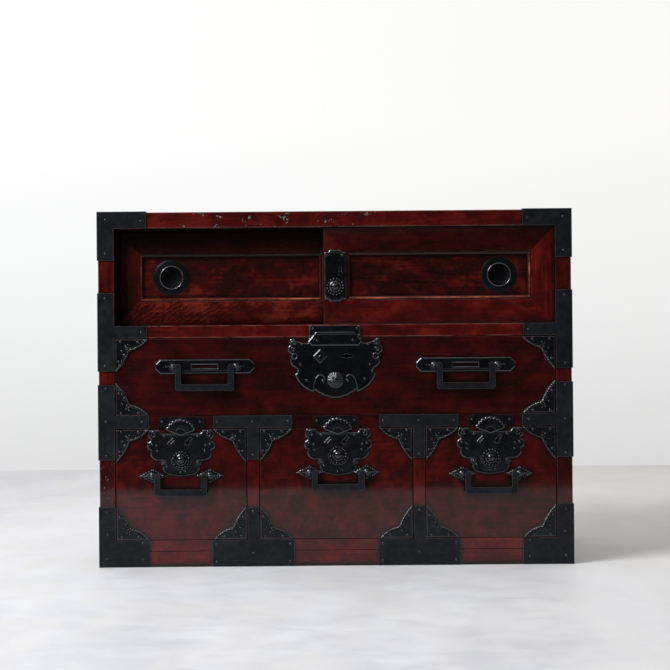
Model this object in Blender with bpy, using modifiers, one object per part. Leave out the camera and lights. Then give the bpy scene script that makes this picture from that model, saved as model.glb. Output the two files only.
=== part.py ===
"""Tansu chest with two sliding doors, four drawers and wrought-iron fittings, in metres.

The chest stands on z = 0 with its front towards -Y. The origin is under the middle of its box.
"""

import math

import bmesh
import bpy
from mathutils import Matrix, Vector

# Clearances
GAP = 0.0003
DRAWER_RUN = 0.0010
DOOR_RUN = 0.0008
PIN_PLAY = 0.0003
BAIL_PLAY = 0.0007

# Carcass boards
WIDTH = 0.900
DEPTH = 0.420
SIDE_T = 0.030
TOP_T = 0.030
BACK_T = 0.010
BACK_LIFT = 0.012
BACK_RABBET = 0.012
BASE_RAIL_H = 0.0305
BASE_RAIL_T = 0.024
BOTTOM_T = 0.0202
LOWER_RAIL_H = 0.023
LOWER_RAIL_D = 0.040
UPPER_RAIL_H = 0.023
DUST_T = 0.010
PARTITION_T = 0.022
SIDE_HOUSING = 0.008
PARTITION_HOUSING = 0.004
EDGE = 0.0010

# Openings between the boards
SMALL_H = 0.213
WIDE_H = 0.149
DOOR_H = 0.186
MIDDLE_W = 0.294

# Carcass irons
IRON_T = 0.0016
TOP_ARM = 0.092
TOP_LEG = 0.091
TOP_LEAF = 0.050
UPPER_ARM = 0.092
UPPER_LEG = 0.063
LOWER_ARM = 0.095
LOWER_LEG = 0.060
BASE_ARM = 0.095
BASE_LEG = 0.064
SIDE_LEAF = 0.085
TEE_ARM = 0.064
TEE_STEM = 0.060
BASE_TEE_ARM = 0.067
BASE_TEE_STEM = 0.062
SMALL_KEEPER_W = 0.088
WIDE_KEEPER_W = 0.096
IRON_ROOT = 0.0006

# Sliding doors
DOOR_T = 0.024
DOOR_RECESS = 0.004
DOOR_OVERLAP = 0.042
TRACK_GAP = 0.003
TRACK_REAR = 0.008
STILE_W = 0.044
DOOR_RAIL_W = 0.046
MOULD_W = 0.007
MOULD_STEP = 0.004
PANEL_RECESS = 0.009
PANEL_T = 0.006
PANEL_GROOVE = 0.006
TONGUE_T = 0.010
TONGUE_UP = 0.008
TONGUE_DOWN = 0.003
GROOVE_PLAY = 0.0006
PULL_INSET = 0.106
PULL_R = 0.0345
PULL_DISH_R = 0.024
PULL_DISH_D = 0.011
PULL_WALL = 0.0015
PULL_LIP = 0.003
DOOR_LOCK_W = 0.040
DOOR_LOCK_H = 0.098

# Drawers
FRONT_T = 0.022
WALL_T = 0.012
BOARD_T = 0.008
TRAY_LOW = 0.008
TRAY_INSET = 0.001
DRAWER_SHORT = 0.018
CORNER_LEG = 0.062
CORNER_INSET = 0.0015

# Locks
LOCK_T = 0.0020
TONGUE_PLATE_T = 0.0018
CASE_W = 0.026
CASE_H = 0.030
CASE_D = 0.012
KEYHOLE_R = 0.0038
KEYHOLE_SLOT_W = 0.0030
KEYHOLE_SLOT_L = 0.0120
KEYHOLE_D = 0.008
KEYHOLE_DROP = 0.008
LOZENGE_R = 0.013
LOZENGE_RISE = 0.0030
LOZENGE_TAPER = 0.72
KNOB_R = 0.0092
KNOB_SINK = 0.0032
KNOB_RING_R = 0.0160
KNOB_RING_RISE = 0.0035
ROSETTE_R = 0.017
ROSETTE_RISE = 0.0035
ROSETTE_PETALS = 16
WIDE_LOCK_HANG = 0.116
WIDE_LOCK_TOP = 0.1135
WIDE_CASE_X = 0.022
WIDE_CASE_LIFT = 0.085
WIDE_BOSS_X = -0.0285
WIDE_BOSS_LIFT = 0.079
ROSETTE_LIFT = 0.033
SMALL_LOCK_HANG = 0.0915
SMALL_CASE_X = 0.012
SMALL_CASE_LIFT = 0.072
SMALL_BOSS_X = -0.022
SMALL_BOSS_LIFT = 0.066
SMALL_BOSS_R = 0.011
SMALL_KNOB_LIFT = 0.0315
MIDDLE_KNOB_LIFT = 0.0385
MIDDLE_FITTINGS_X = 0.004
DOOR_CASE_LIFT = 0.061
DOOR_KEYHOLE_X = 0.010
DOOR_KNOB_LIFT = 0.028

# Handles
PLATE_T = 0.0020
STANDOFF = 0.011
POST_HEAD_R = 0.0038
POST_NECK_R = 0.0026
POST_COLLAR_R = 0.0062
POST_COLLAR_H = 0.0015
TANG_R = 0.0020
TANG_OUT = 0.0025
PIN_R = 0.0016
PIN_OUT = 0.0008
BAIL_T = 0.008
BAIL_LEG_W = 0.0110
BAIL_BAR_H = 0.0125
BAIL_CORNER_R = 0.0050
BAIL_INNER_R = 0.0020
BAIL_EDGE = 0.0016
WIDE_HANDLE_INSET = 0.172
WIDE_HANDLE_HANG = 0.055
WIDE_POST_SPAN = 0.120
WIDE_BAIL_DROP = 0.046
WIDE_PLATE_W = 0.188
WIDE_PLATE_H = 0.027
WIDE_PLATE_CUT = 0.009
SLOT_W = 0.048
SLOT_H = 0.007
SMALL_HANDLE_HANG = 0.0905
SMALL_POST_SPAN = 0.109
SMALL_BAIL_DROP = 0.0375
MIDDLE_HANDLE_HANG = 0.086
MIDDLE_BAIL_DROP = 0.034
LOZENGE_PLATE_W = 0.050
LOZENGE_PLATE_H = 0.031

# Facets
ARC_STEPS = 4
SCALLOP_STEPS = 3
TURN_STEPS = 16
PULL_STEPS = 28

# Half outlines of the ironwork, from the foot up the right side: x, height, and how far the edge
# from this corner to the next one bows outwards
WIDE_LOCK_HALF = (
    (0.0000, 0.0000, 0.0040),
    (0.0390, 0.0160, 0.0000),
    (0.0430, 0.0115, 0.0056),
    (0.0765, 0.0450, -0.0055),
    (0.0770, 0.0580, 0.0038),
    (0.0845, 0.0765, -0.0036),
    (0.0840, 0.0845, 0.0068),
    (0.0825, 0.1125, -0.0030),
    (0.0515, 0.1040, 0.0000),
    (0.0495, WIDE_LOCK_TOP, 0.0000),
    (0.0000, WIDE_LOCK_TOP, 0.0000),
)
WIDE_TONGUE_HALF = (
    (0.0000, 0.1000, 0.0000),
    (0.0460, 0.1000, -0.0015),
    (0.0520, 0.1050, 0.0000),
    (0.0365, 0.1250, 0.0000),
    (0.0000, 0.1250, 0.0000),
)
SMALL_LOCK_HALF = (
    (0.0000, 0.0000, 0.0011),
    (0.0260, 0.0043, 0.0042),
    (0.0338, 0.0219, -0.0040),
    (0.0343, 0.0309, 0.0032),
    (0.0551, 0.0352, 0.0021),
    (0.0567, 0.0485, -0.0005),
    (0.0614, 0.0512, 0.0042),
    (0.0588, 0.0667, -0.0029),
    (0.0608, 0.0725, 0.0021),
    (0.0590, 0.0880, 0.0000),
    (0.0416, 0.0880, -0.0021),
    (0.0333, 0.0811, 0.0000),
    (0.0000, 0.0811, 0.0000),
)
DOOR_LOCK_FOOT = (
    (0.0000, 0.0000, 0.0000),
    (0.0100, 0.0000, -0.0015),
    (0.0165, 0.0045, 0.0018),
)
SHELL_Z = 0.0795
SHELL_R = 0.0280
SHELL_SCALLOP = 0.0022
SHELL_LOBES = 9
SHELL_SPREAD = 74

# Heights of the carcass, from the floor up
Z_BOTTOM = BASE_RAIL_H + GAP
Z_SMALL = Z_BOTTOM + BOTTOM_T
Z_LOWER_RAIL = Z_SMALL + SMALL_H
Z_WIDE = Z_LOWER_RAIL + LOWER_RAIL_H
Z_UPPER_RAIL = Z_WIDE + WIDE_H
Z_DOORS = Z_UPPER_RAIL + UPPER_RAIL_H
Z_TOP = Z_DOORS + DOOR_H
HEIGHT = Z_TOP + TOP_T

# Widths and depths that follow from the sizes above
HALF = WIDTH / 2
INNER = HALF - SIDE_T
PARTITION_X = (MIDDLE_W + PARTITION_T) / 2
KNOB_REACH = GAP + LOCK_T + KNOB_SINK + KNOB_R
PROUD = max(STANDOFF + BAIL_T / 2, STANDOFF + POST_HEAD_R, KNOB_REACH)
FRONT = (PROUD - DEPTH) / 2
BACK = FRONT + DEPTH
BACK_FACE = BACK - BACK_T
REAR_TRACK = DOOR_RECESS + DOOR_T + TRACK_GAP
UPPER_RAIL_D = REAR_TRACK + DOOR_T + TRACK_REAR
IRON_OUT = GAP + IRON_T

LACQUER = ("lacquered_wood", (0.105, 0.016, 0.012), 0.28, 0.0)
BARE_WOOD = ("bare_wood", (0.36, 0.22, 0.12), 0.65, 0.0)
IRON = ("black_iron", (0.022, 0.022, 0.025), 0.42, 0.7)


def clear_scene():
    for obj in list(bpy.data.objects):
        bpy.data.objects.remove(obj)


def collection(name):
    made = bpy.data.collections.new(name)
    bpy.context.scene.collection.children.link(made)
    return made


def material(finish):
    name, colour, roughness, metallic = finish
    found = bpy.data.materials.get(name)
    if found:
        return found
    made = bpy.data.materials.new(name)
    made.use_nodes = True
    shader = made.node_tree.nodes["Principled BSDF"]
    shader.inputs["Base Color"].default_value = (*colour, 1)
    shader.inputs["Roughness"].default_value = roughness
    shader.inputs["Metallic"].default_value = metallic
    return made


def finished(bm, name):
    """The bmesh as a mesh with its faces pointing out."""
    bmesh.ops.recalc_face_normals(bm, faces=bm.faces)
    mesh = bpy.data.meshes.new(name)
    bm.to_mesh(mesh)
    bm.free()
    return mesh


def box_mesh(low, high):
    low, high = Vector(low), Vector(high)
    bm = bmesh.new()
    place = Matrix.Translation((low + high) / 2) @ Matrix.Diagonal((*(high - low), 1))
    bmesh.ops.create_cube(bm, size=1, matrix=place)
    return finished(bm, "box")


def rod_mesh(start, end, radius, segments=TURN_STEPS):
    """A cylinder between two points, or with few segments a prism."""
    start, end = Vector(start), Vector(end)
    turn = (end - start).to_track_quat("Z", "Y").to_matrix().to_4x4()
    place = Matrix.Translation((start + end) / 2) @ turn
    bm = bmesh.new()
    bmesh.ops.create_cone(
        bm, cap_ends=True, segments=segments, radius1=radius, radius2=radius,
        depth=(end - start).length, matrix=place,
    )
    return finished(bm, "rod")


def evaluated_mesh(guide, weld=1e-6):
    """The guide's evaluated mesh, welded. The guide is removed."""
    bpy.context.scene.collection.objects.link(guide)
    graph = bpy.context.evaluated_depsgraph_get()
    mesh = bpy.data.meshes.new_from_object(guide.evaluated_get(graph))
    bpy.data.objects.remove(guide)
    bm = bmesh.new()
    bm.from_mesh(mesh)
    bmesh.ops.remove_doubles(bm, verts=bm.verts, dist=weld)
    return finished(bm, "solid")


def plate_mesh(outline, thickness):
    """A flat outline of x and z, with its back on y = 0 and its front towards -Y."""
    curve = bpy.data.curves.new("outline", "CURVE")
    curve.dimensions = "2D"
    curve.fill_mode = "BOTH"
    curve.extrude = thickness / 2
    spline = curve.splines.new("POLY")
    spline.points.add(len(outline) - 1)
    for point, (x, z) in zip(spline.points, outline):
        point.co = (x, z, 0, 1)
    spline.use_cyclic_u = True
    mesh = evaluated_mesh(bpy.data.objects.new("outline", curve))
    stand = Matrix.Rotation(math.radians(90), 4, "X")
    mesh.transform(Matrix.Translation((0, -thickness / 2, 0)) @ stand)
    return mesh


def turned_mesh(profile, steps=TURN_STEPS):
    """A profile of radius and reach, turned about the Y axis with its reach towards -Y."""
    line = bpy.data.meshes.new("profile")
    points = [(radius, 0, reach) for radius, reach in profile]
    line.from_pydata(points, [(i, i + 1) for i in range(len(points) - 1)], [])
    guide = bpy.data.objects.new("profile", line)
    screw = guide.modifiers.new("turn", "SCREW")
    screw.steps = screw.render_steps = steps
    screw.use_merge_vertices = True
    screw.merge_threshold = 1e-5
    mesh = evaluated_mesh(guide, weld=1e-5)
    mesh.transform(Matrix.Rotation(math.radians(90), 4, "X"))
    mesh.shade_smooth()
    mesh.set_sharp_from_angle(angle=math.radians(40))
    return mesh


def merged(meshes):
    """Separate solids in one mesh, for one Boolean."""
    bm = bmesh.new()
    for mesh in meshes:
        bm.from_mesh(mesh)
    return finished(bm, "solids")


def moved(mesh, x=0.0, y=0.0, z=0.0):
    mesh.transform(Matrix.Translation((x, y, z)))
    return mesh


def bowed(start, end, rise):
    """The points from start up to, not at, end on an arc that bows by rise to the right of its way."""
    points = [start]
    if not rise:
        return points
    way = (end[0] - start[0], end[1] - start[1])
    half = math.hypot(*way) / 2
    radius = (half * half + rise * rise) / (2 * rise)
    right = (way[1] / (2 * half), -way[0] / (2 * half))
    centre = [(start[i] + end[i]) / 2 + right[i] * (rise - radius) for i in (0, 1)]
    spoke = (start[0] - centre[0], start[1] - centre[1])
    sweep = math.copysign(2 * math.atan2(half, abs(radius) - abs(rise)), rise)
    for i in range(1, ARC_STEPS):
        turn = sweep * i / ARC_STEPS
        x = spoke[0] * math.cos(turn) - spoke[1] * math.sin(turn)
        z = spoke[0] * math.sin(turn) + spoke[1] * math.cos(turn)
        points.append((centre[0] + x, centre[1] + z))
    return points


def outline_of(corners, closed=False):
    """The points of a run of corners, each given with the bow of the edge after it."""
    points = []
    following = corners[1:] + corners[:1] if closed else corners[1:]
    for (x, z, rise), after in zip(corners, following):
        points += bowed((x, z), after[:2], rise)
    return points if closed else points + [tuple(corners[-1][:2])]


def mirrored(half):
    """A closed outline from its right half, which starts and ends on the middle line."""
    points = half[1:] if half[0][1] == half[1][1] else half
    points = points[:-1] if points[-1][1] == points[-2][1] else points
    return points + [(-x, z) for x, z in reversed(points) if x]


def scalloped(x, z, radius, scallop, lobes, first, last):
    """An arc of round lobes, from one angle in degrees to another."""
    count = lobes * SCALLOP_STEPS
    points = []
    for i in range(count + 1):
        angle = math.radians(first + (last - first) * i / count)
        reach = radius + scallop * abs(math.sin(math.pi * lobes * i / count))
        points.append((x + reach * math.cos(angle), z + reach * math.sin(angle)))
    return points


def node(name, mesh, finish, body=None, bevel=0.0):
    obj = bpy.data.objects.new(name, mesh)
    obj.data.name = name
    obj.data.materials.append(material(finish))
    PARTS.objects.link(obj)
    if bevel:
        rounding = obj.modifiers.new("edges", "BEVEL")
        rounding.width = bevel
        rounding.segments = 1
        rounding.angle_limit = math.radians(50)
    if body:
        obj.parent = body
        obj.matrix_parent_inverse = Matrix.Translation(-body.location)
    return obj


def boolean(obj, mesh, operation, finish=None):
    """Cuts the mesh from the object, or joins it on."""
    tool = bpy.data.objects.new(f"{obj.name}_{operation.lower()}", mesh)
    if finish:
        mesh.materials.append(material(finish))
    CUTTERS.objects.link(tool)
    tool.hide_render = True
    tool.display_type = "WIRE"
    step = obj.modifiers.new(tool.name, "BOOLEAN")
    step.operation = operation
    step.material_mode = "TRANSFER"
    step.object = tool


def cut(obj, *meshes):
    boolean(obj, merged(meshes), "DIFFERENCE")


def join(obj, *meshes, finish=None):
    boolean(obj, merged(meshes), "UNION", finish)


def body_empty(name, place):
    empty = bpy.data.objects.new(name, None)
    empty.location = place
    PARTS.objects.link(empty)
    return empty


def side_panel(name, side):
    """A side board with housings for the shelves and a rabbet for the back board."""
    low_x, high_x = sorted((side * INNER, side * HALF))
    panel = node(name, box_mesh((low_x, FRONT, 0), (high_x, BACK, Z_TOP - GAP)), LACQUER, bevel=EDGE)
    cutters = []
    for low, high in ((Z_BOTTOM, Z_SMALL), (Z_LOWER_RAIL, Z_WIDE), (Z_UPPER_RAIL, Z_DOORS)):
        near, far = sorted((side * (INNER - EDGE * 4), side * (INNER + SIDE_HOUSING)))
        cutters.append(box_mesh((near, FRONT - EDGE, low - GAP), (far, BACK_FACE, high + GAP)))
    near, far = sorted((side * (INNER - EDGE * 4), side * (INNER + BACK_RABBET)))
    cutters.append(box_mesh((near, BACK_FACE - GAP, BACK_LIFT - GAP), (far, BACK + EDGE, Z_TOP)))
    for cutter in cutters:
        cut(panel, cutter)


def shelf(name, rail_low, rail_high, rail_depth, keepers):
    """A front rail with its dust board flush on top, housed in both sides, and its lock keepers."""
    reach = INNER + SIDE_HOUSING - GAP
    profile = [
        (FRONT, rail_low),
        (FRONT + rail_depth, rail_low),
        (FRONT + rail_depth, rail_high - DUST_T),
        (BACK_FACE - GAP, rail_high - DUST_T),
        (BACK_FACE - GAP, rail_high),
        (FRONT, rail_high),
    ]
    mesh = plate_mesh(profile, 2 * reach)
    mesh.transform(Matrix.Rotation(math.radians(90), 4, "Z"))
    made = node(name, moved(mesh, x=-reach), LACQUER)
    plates = []
    for x, width in keepers:
        low = (x - width / 2, FRONT - IRON_T, rail_low + EDGE)
        high = (x + width / 2, FRONT + IRON_ROOT, rail_high - EDGE)
        plates.append(box_mesh(low, high))
    join(made, *plates, finish=IRON)
    return made


def carcass():
    top = node("top_panel", box_mesh((-HALF, FRONT, Z_TOP), (HALF, BACK, HEIGHT)), LACQUER, bevel=EDGE)
    for recess in (DOOR_RECESS, REAR_TRACK):
        cut(top, groove(recess, Z_TOP - EDGE, Z_TOP + TONGUE_UP + GROOVE_PLAY))
    side_panel("left_side_panel", -1)
    side_panel("right_side_panel", 1)

    back_x = INNER + BACK_RABBET - GAP
    low = (-back_x, BACK_FACE, BACK_LIFT)
    node("back_panel", box_mesh(low, (back_x, BACK, Z_TOP - GAP)), BARE_WOOD)

    rail_x = INNER - GAP
    high = (rail_x, FRONT + BASE_RAIL_T, BASE_RAIL_H)
    node("base_rail", box_mesh((-rail_x, FRONT, 0), high), LACQUER, bevel=EDGE)
    rear = BACK_FACE - GAP
    low = (-rail_x, rear - BASE_RAIL_T, 0)
    node("rear_base_rail", box_mesh(low, (rail_x, rear, BASE_RAIL_H)), BARE_WOOD)

    reach = INNER + SIDE_HOUSING - GAP
    bottom = node("bottom_board", box_mesh((-reach, FRONT, Z_BOTTOM), (reach, rear, Z_SMALL)), LACQUER)
    lower = shelf("lower_shelf", Z_LOWER_RAIL, Z_WIDE, LOWER_RAIL_D, small_keepers())
    upper = shelf("upper_shelf", Z_UPPER_RAIL, Z_DOORS, UPPER_RAIL_D, [(0, WIDE_KEEPER_W)])
    for recess in (DOOR_RECESS, REAR_TRACK):
        cut(upper, groove(recess, Z_DOORS - TONGUE_DOWN - GAP, Z_DOORS + EDGE))
    for side, name in ((-1, "left_partition"), (1, "right_partition")):
        partition(name, side * PARTITION_X)
        for board, low, high in (
            (bottom, Z_SMALL - PARTITION_HOUSING - GAP, Z_SMALL + EDGE),
            (lower, Z_LOWER_RAIL - EDGE, Z_LOWER_RAIL + PARTITION_HOUSING + GAP),
        ):
            half = PARTITION_T / 2 + GAP
            x = side * PARTITION_X
            cut(board, box_mesh((x - half, FRONT - EDGE, low), (x + half, BACK, high)))


def groove(recess, low, high):
    """The cutter of one door track."""
    start = FRONT + recess + (DOOR_T - TONGUE_T) / 2 - GROOVE_PLAY
    end = start + TONGUE_T + 2 * GROOVE_PLAY
    return box_mesh((-INNER, start, low), (INNER, end, high))


def partition(name, x):
    """An upright between two small drawers, notched under the lower rail."""
    low = Z_SMALL - PARTITION_HOUSING
    rail = Z_LOWER_RAIL + PARTITION_HOUSING
    dust = Z_WIDE - DUST_T - GAP
    rear = BACK_FACE - GAP
    notch = FRONT + LOWER_RAIL_D + GAP
    profile = [(FRONT, low), (rear, low), (rear, dust), (notch, dust), (notch, rail), (FRONT, rail)]
    mesh = plate_mesh(profile, PARTITION_T)
    mesh.transform(Matrix.Rotation(math.radians(90), 4, "Z"))
    node(name, moved(mesh, x=x - PARTITION_T / 2), LACQUER)


def small_bays():
    """Name, middle and half width of each small drawer's opening."""
    outer = PARTITION_X + PARTITION_T / 2
    side_x = (outer + INNER) / 2
    side_half = (INNER - outer) / 2
    return (
        ("left_drawer", -side_x, side_half),
        ("middle_drawer", 0.0, MIDDLE_W / 2),
        ("right_drawer", side_x, side_half),
    )


def small_keepers():
    return [(x, SMALL_KEEPER_W) for _, x, _ in small_bays()]


def bent_iron(name, front, side, top_leaf=0.0):
    """A sheet of iron on the front, bent round the side and, with a top leaf, over the top."""
    face = FRONT - GAP
    bm = bmesh.new()
    sheet = [bm.verts.new((side * x, face, z)) for x, z in front]
    bm.faces.new(sheet)
    foot, head, inner = sheet[:3]
    leaf = [bm.verts.new((vert.co.x, FRONT + SIDE_LEAF, vert.co.z)) for vert in (foot, head)]
    if top_leaf:
        cover = bm.verts.new((head.co.x, FRONT + top_leaf, head.co.z))
        tip = bm.verts.new((inner.co.x, FRONT + top_leaf, head.co.z))
        bm.faces.new((head, inner, tip, cover))
        bm.faces.new((foot, head, cover, leaf[1], leaf[0]))
    else:
        bm.faces.new((foot, head, leaf[1], leaf[0]))
    mesh = finished(bm, name)
    sheet_metal = node(name, mesh, IRON).modifiers.new("sheet", "SOLIDIFY")
    sheet_metal.thickness = IRON_T
    sheet_metal.offset = 1 if mesh.polygons[0].normal.y < 0 else -1
    sheet_metal.solidify_mode = "NON_MANIFOLD"
    sheet_metal.nonmanifold_thickness_mode = "CONSTRAINTS"


def arm_and_leg(arm, arm_low, arm_high, leg_low, leg_high):
    """A corner iron's front outline for the right side: a leg on the side board and an arm on a rail."""
    out = HALF + GAP
    tip = HALF - arm
    points = [(out, leg_low), (out, leg_high)]
    if leg_high > arm_high:
        points += [(INNER, leg_high), (INNER, arm_high)]
    points += [(tip, arm_high), (tip, arm_low)]
    if leg_low < arm_low:
        points += [(INNER, arm_low), (INNER, leg_low)]
    return points


def tee(name, x, low, high, arm, stem_low, stem_high):
    """A flat iron over a rail with a stem on the upright."""
    half = PARTITION_T / 2
    points = [(-half - arm, low), (-half, low), (half, low), (half + arm, low)]
    points += [(half + arm, high), (half, high), (-half, high), (-half - arm, high)]
    if stem_low < low:
        points[1:3] = [(-half, low), (-half, stem_low), (half, stem_low), (half, low)]
    if stem_high > high:
        points[5:7] = [(half, high), (half, stem_high), (-half, stem_high), (-half, high)]
    node(name, moved(plate_mesh(points, IRON_T), x=x, y=FRONT - GAP), IRON)


def carcass_irons():
    for side, name in ((-1, "left"), (1, "right")):
        lid = HEIGHT + GAP
        front = arm_and_leg(TOP_ARM, Z_TOP, lid, Z_TOP - TOP_LEG + TOP_T, lid)
        bent_iron(f"top_{name}_corner_iron", front, side, TOP_LEAF)
        low, high = Z_UPPER_RAIL - UPPER_LEG, Z_DOORS + UPPER_LEG
        front = arm_and_leg(UPPER_ARM, Z_UPPER_RAIL, Z_DOORS, low, high)
        bent_iron(f"upper_{name}_corner_iron", front, side)
        low, high = Z_LOWER_RAIL - LOWER_LEG, Z_WIDE + LOWER_LEG
        front = arm_and_leg(LOWER_ARM, Z_LOWER_RAIL, Z_WIDE, low, high)
        bent_iron(f"lower_{name}_corner_iron", front, side)
        high = Z_SMALL + BASE_LEG
        front = arm_and_leg(BASE_ARM, GAP, Z_SMALL, GAP, high)
        bent_iron(f"base_{name}_corner_iron", front, side)
        x = side * PARTITION_X
        tee(f"{name}_tee_iron", x, Z_LOWER_RAIL, Z_WIDE, TEE_ARM, Z_LOWER_RAIL - TEE_STEM, Z_WIDE)
        tee(f"{name}_base_tee_iron", x, GAP, Z_SMALL, BASE_TEE_ARM, GAP, Z_SMALL + BASE_TEE_STEM)


def door(name, side, recess):
    """A framed panel that slides on tongues, with a round finger pull let into its panel."""
    outer = side * (INNER - DOOR_RUN)
    inner = -side * DOOR_OVERLAP / 2
    low_x, high_x = sorted((outer, inner))
    low_z, high_z = Z_DOORS + DOOR_RUN, Z_TOP - DOOR_RUN
    face = FRONT + recess
    body = body_empty(f"{name}_body", ((low_x + high_x) / 2, face, Z_DOORS))

    def inset(amount, front, rear):
        stile, rail = STILE_W + amount, DOOR_RAIL_W + amount
        low = (low_x + stile, front, low_z + rail)
        return box_mesh(low, (high_x - stile, rear, high_z - rail))

    rear = face + DOOR_T
    blank = box_mesh((low_x, face, low_z), (high_x, rear, high_z))
    frame = node(f"{name}_frame", blank, LACQUER, body, EDGE)
    cut(frame, inset(0, face - EDGE, face + MOULD_STEP))
    cut(frame, inset(MOULD_W, face - EDGE, rear + EDGE))
    panel_face = face + PANEL_RECESS
    cut(frame, inset(MOULD_W - PANEL_GROOVE, panel_face - GAP, panel_face + PANEL_T + GAP))
    tongue_y = face + (DOOR_T - TONGUE_T) / 2
    for low, high in ((high_z - EDGE * 2, Z_TOP + TONGUE_UP), (Z_DOORS - TONGUE_DOWN, low_z + EDGE * 2)):
        low_corner = (low_x + EDGE * 2, tongue_y, low)
        join(frame, box_mesh(low_corner, (high_x - EDGE * 2, tongue_y + TONGUE_T, high)))

    pull_x = side * (INNER - PULL_INSET)
    pull_z = (low_z + high_z) / 2
    cup_r = PULL_DISH_R + PULL_WALL
    panel_mesh = inset(MOULD_W - PANEL_GROOVE + GAP, panel_face, panel_face + PANEL_T)
    panel = node(f"{name}_panel", panel_mesh, LACQUER, body)
    hole = rod_mesh((pull_x, face, pull_z), (pull_x, rear, pull_z), cup_r + GAP, PULL_STEPS)
    cut(panel, hole)
    profile = [
        (0, -PULL_DISH_D),
        (PULL_DISH_R * 0.72, -PULL_DISH_D),
        (PULL_DISH_R * 0.95, -PULL_DISH_D * 0.55),
        (PULL_DISH_R, PULL_LIP * 0.6),
        (PULL_DISH_R + PULL_WALL, PULL_LIP),
        (PULL_R - PULL_WALL, PULL_LIP * 0.75),
        (PULL_R, GAP),
        (cup_r, GAP),
        (cup_r, -PULL_DISH_D - PULL_WALL),
        (0, -PULL_DISH_D - PULL_WALL),
    ]
    pull = node(f"{name}_pull", turned_mesh(profile, PULL_STEPS), IRON, body)
    pull.location = (pull_x, panel_face, pull_z)
    return body, frame, face


def door_lock(body, frame, face):
    """The front door's lock plate, on its inner stile."""
    x = -DOOR_OVERLAP / 2 + STILE_W / 2
    foot = Z_DOORS + (DOOR_H - DOOR_LOCK_H) / 2
    half_w, top = DOOR_LOCK_W / 2, DOOR_LOCK_H
    half = list(DOOR_LOCK_FOOT)
    half.append((half_w, DOOR_LOCK_FOOT[2][1] + DOOR_LOCK_FOOT[1][0] / 4, 0.0))
    crown = [(corner_x, top - z, 0.0) for corner_x, z, _ in reversed(half)]
    plate = plate_mesh(mirrored(outline_of(tuple(half + crown))), LOCK_T)
    lock = node("right_door_lock", moved(plate, x, face - GAP, foot), IRON, body)
    case_z = foot + DOOR_CASE_LIFT
    join(lock, lock_case(x, face, case_z))
    cut(lock, keyhole(x + DOOR_KEYHOLE_X, case_z - KEYHOLE_DROP, face))
    join(lock, moved(knob_mesh(), x, face - GAP, foot + DOOR_KNOB_LIFT))
    cut(frame, lock_case(x, face, case_z, GAP))


def lock_case(x, face, z, spare=0.0):
    """The lock's case in the wood behind its plate, or with spare its mortise."""
    half_w, half_h = CASE_W / 2 + spare, CASE_H / 2 + spare
    front = face - EDGE if spare else face - GAP - LOCK_T / 3
    return box_mesh((x - half_w, front, z - half_h), (x + half_w, face + CASE_D + spare, z + half_h))


def keyhole(x, z, face):
    """The cutter of a round keyhole with a slot above it."""
    slot = KEYHOLE_SLOT_W / 2
    shoulder = math.sqrt(KEYHOLE_R ** 2 - slot ** 2)
    bottom = KEYHOLE_R * math.sqrt(0.5)
    corners = (
        (0.0, -KEYHOLE_R, KEYHOLE_R - bottom - KEYHOLE_R * 0.215),
        (bottom, -bottom, KEYHOLE_R * 0.2),
        (slot, shoulder, 0.0),
        (slot, KEYHOLE_SLOT_L, 0.0),
        (0.0, KEYHOLE_SLOT_L, 0.0),
    )
    deep = LOCK_T * 2 + KEYHOLE_D
    return moved(plate_mesh(mirrored(outline_of(corners)), deep), x, face + KEYHOLE_D, z)


def knob_mesh():
    """A ball knob in a raised ring, standing on a plate."""
    root = LOCK_T / 2
    ring_in = KNOB_RING_R - KNOB_RING_RISE
    top = LOCK_T + KNOB_RING_RISE
    seat = LOCK_T + KNOB_RING_RISE * 0.35
    profile = [(0, root), (KNOB_RING_R, root), (KNOB_RING_R, LOCK_T), (KNOB_RING_R * 0.97, seat)]
    profile += [((KNOB_RING_R + ring_in) / 2, top), (ring_in, seat)]
    centre = LOCK_T + KNOB_SINK
    for degrees in (-6, 20, 45, 68):
        angle = math.radians(degrees)
        profile.append((KNOB_R * math.cos(angle), centre + KNOB_R * math.sin(angle)))
    profile.append((0, centre + KNOB_R))
    return turned_mesh(profile)


def lozenge_mesh(radius):
    """A raised four-sided boss, from inside the plate to its flat top."""
    bm = bmesh.new()
    depth = LOZENGE_RISE + LOCK_T / 2
    lift = Matrix.Translation((0, -LOCK_T / 2 - depth / 2, 0))
    bmesh.ops.create_cone(
        bm, cap_ends=True, segments=4, radius1=radius, radius2=radius * LOZENGE_TAPER, depth=depth,
        matrix=lift @ Matrix.Rotation(math.radians(90), 4, "X"),
    )
    return finished(bm, "lozenge")


def rosette_meshes():
    """A flower with round petals, and its domed heart."""
    scallop = ROSETTE_R * 0.08
    petals = scalloped(0, 0, ROSETTE_R - scallop, scallop, ROSETTE_PETALS, 0, 360)[:-1]
    heart_r = ROSETTE_R * 0.42
    top = LOCK_T / 2 + ROSETTE_RISE
    profile = [(0, LOCK_T), (heart_r, LOCK_T), (heart_r, top), (heart_r * 0.8, top + heart_r * 0.35)]
    profile += [(heart_r * 0.4, top + heart_r * 0.58), (0, top + heart_r * 0.65)]
    return [moved(plate_mesh(petals, ROSETTE_RISE), y=-LOCK_T / 2), turned_mesh(profile)]


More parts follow.
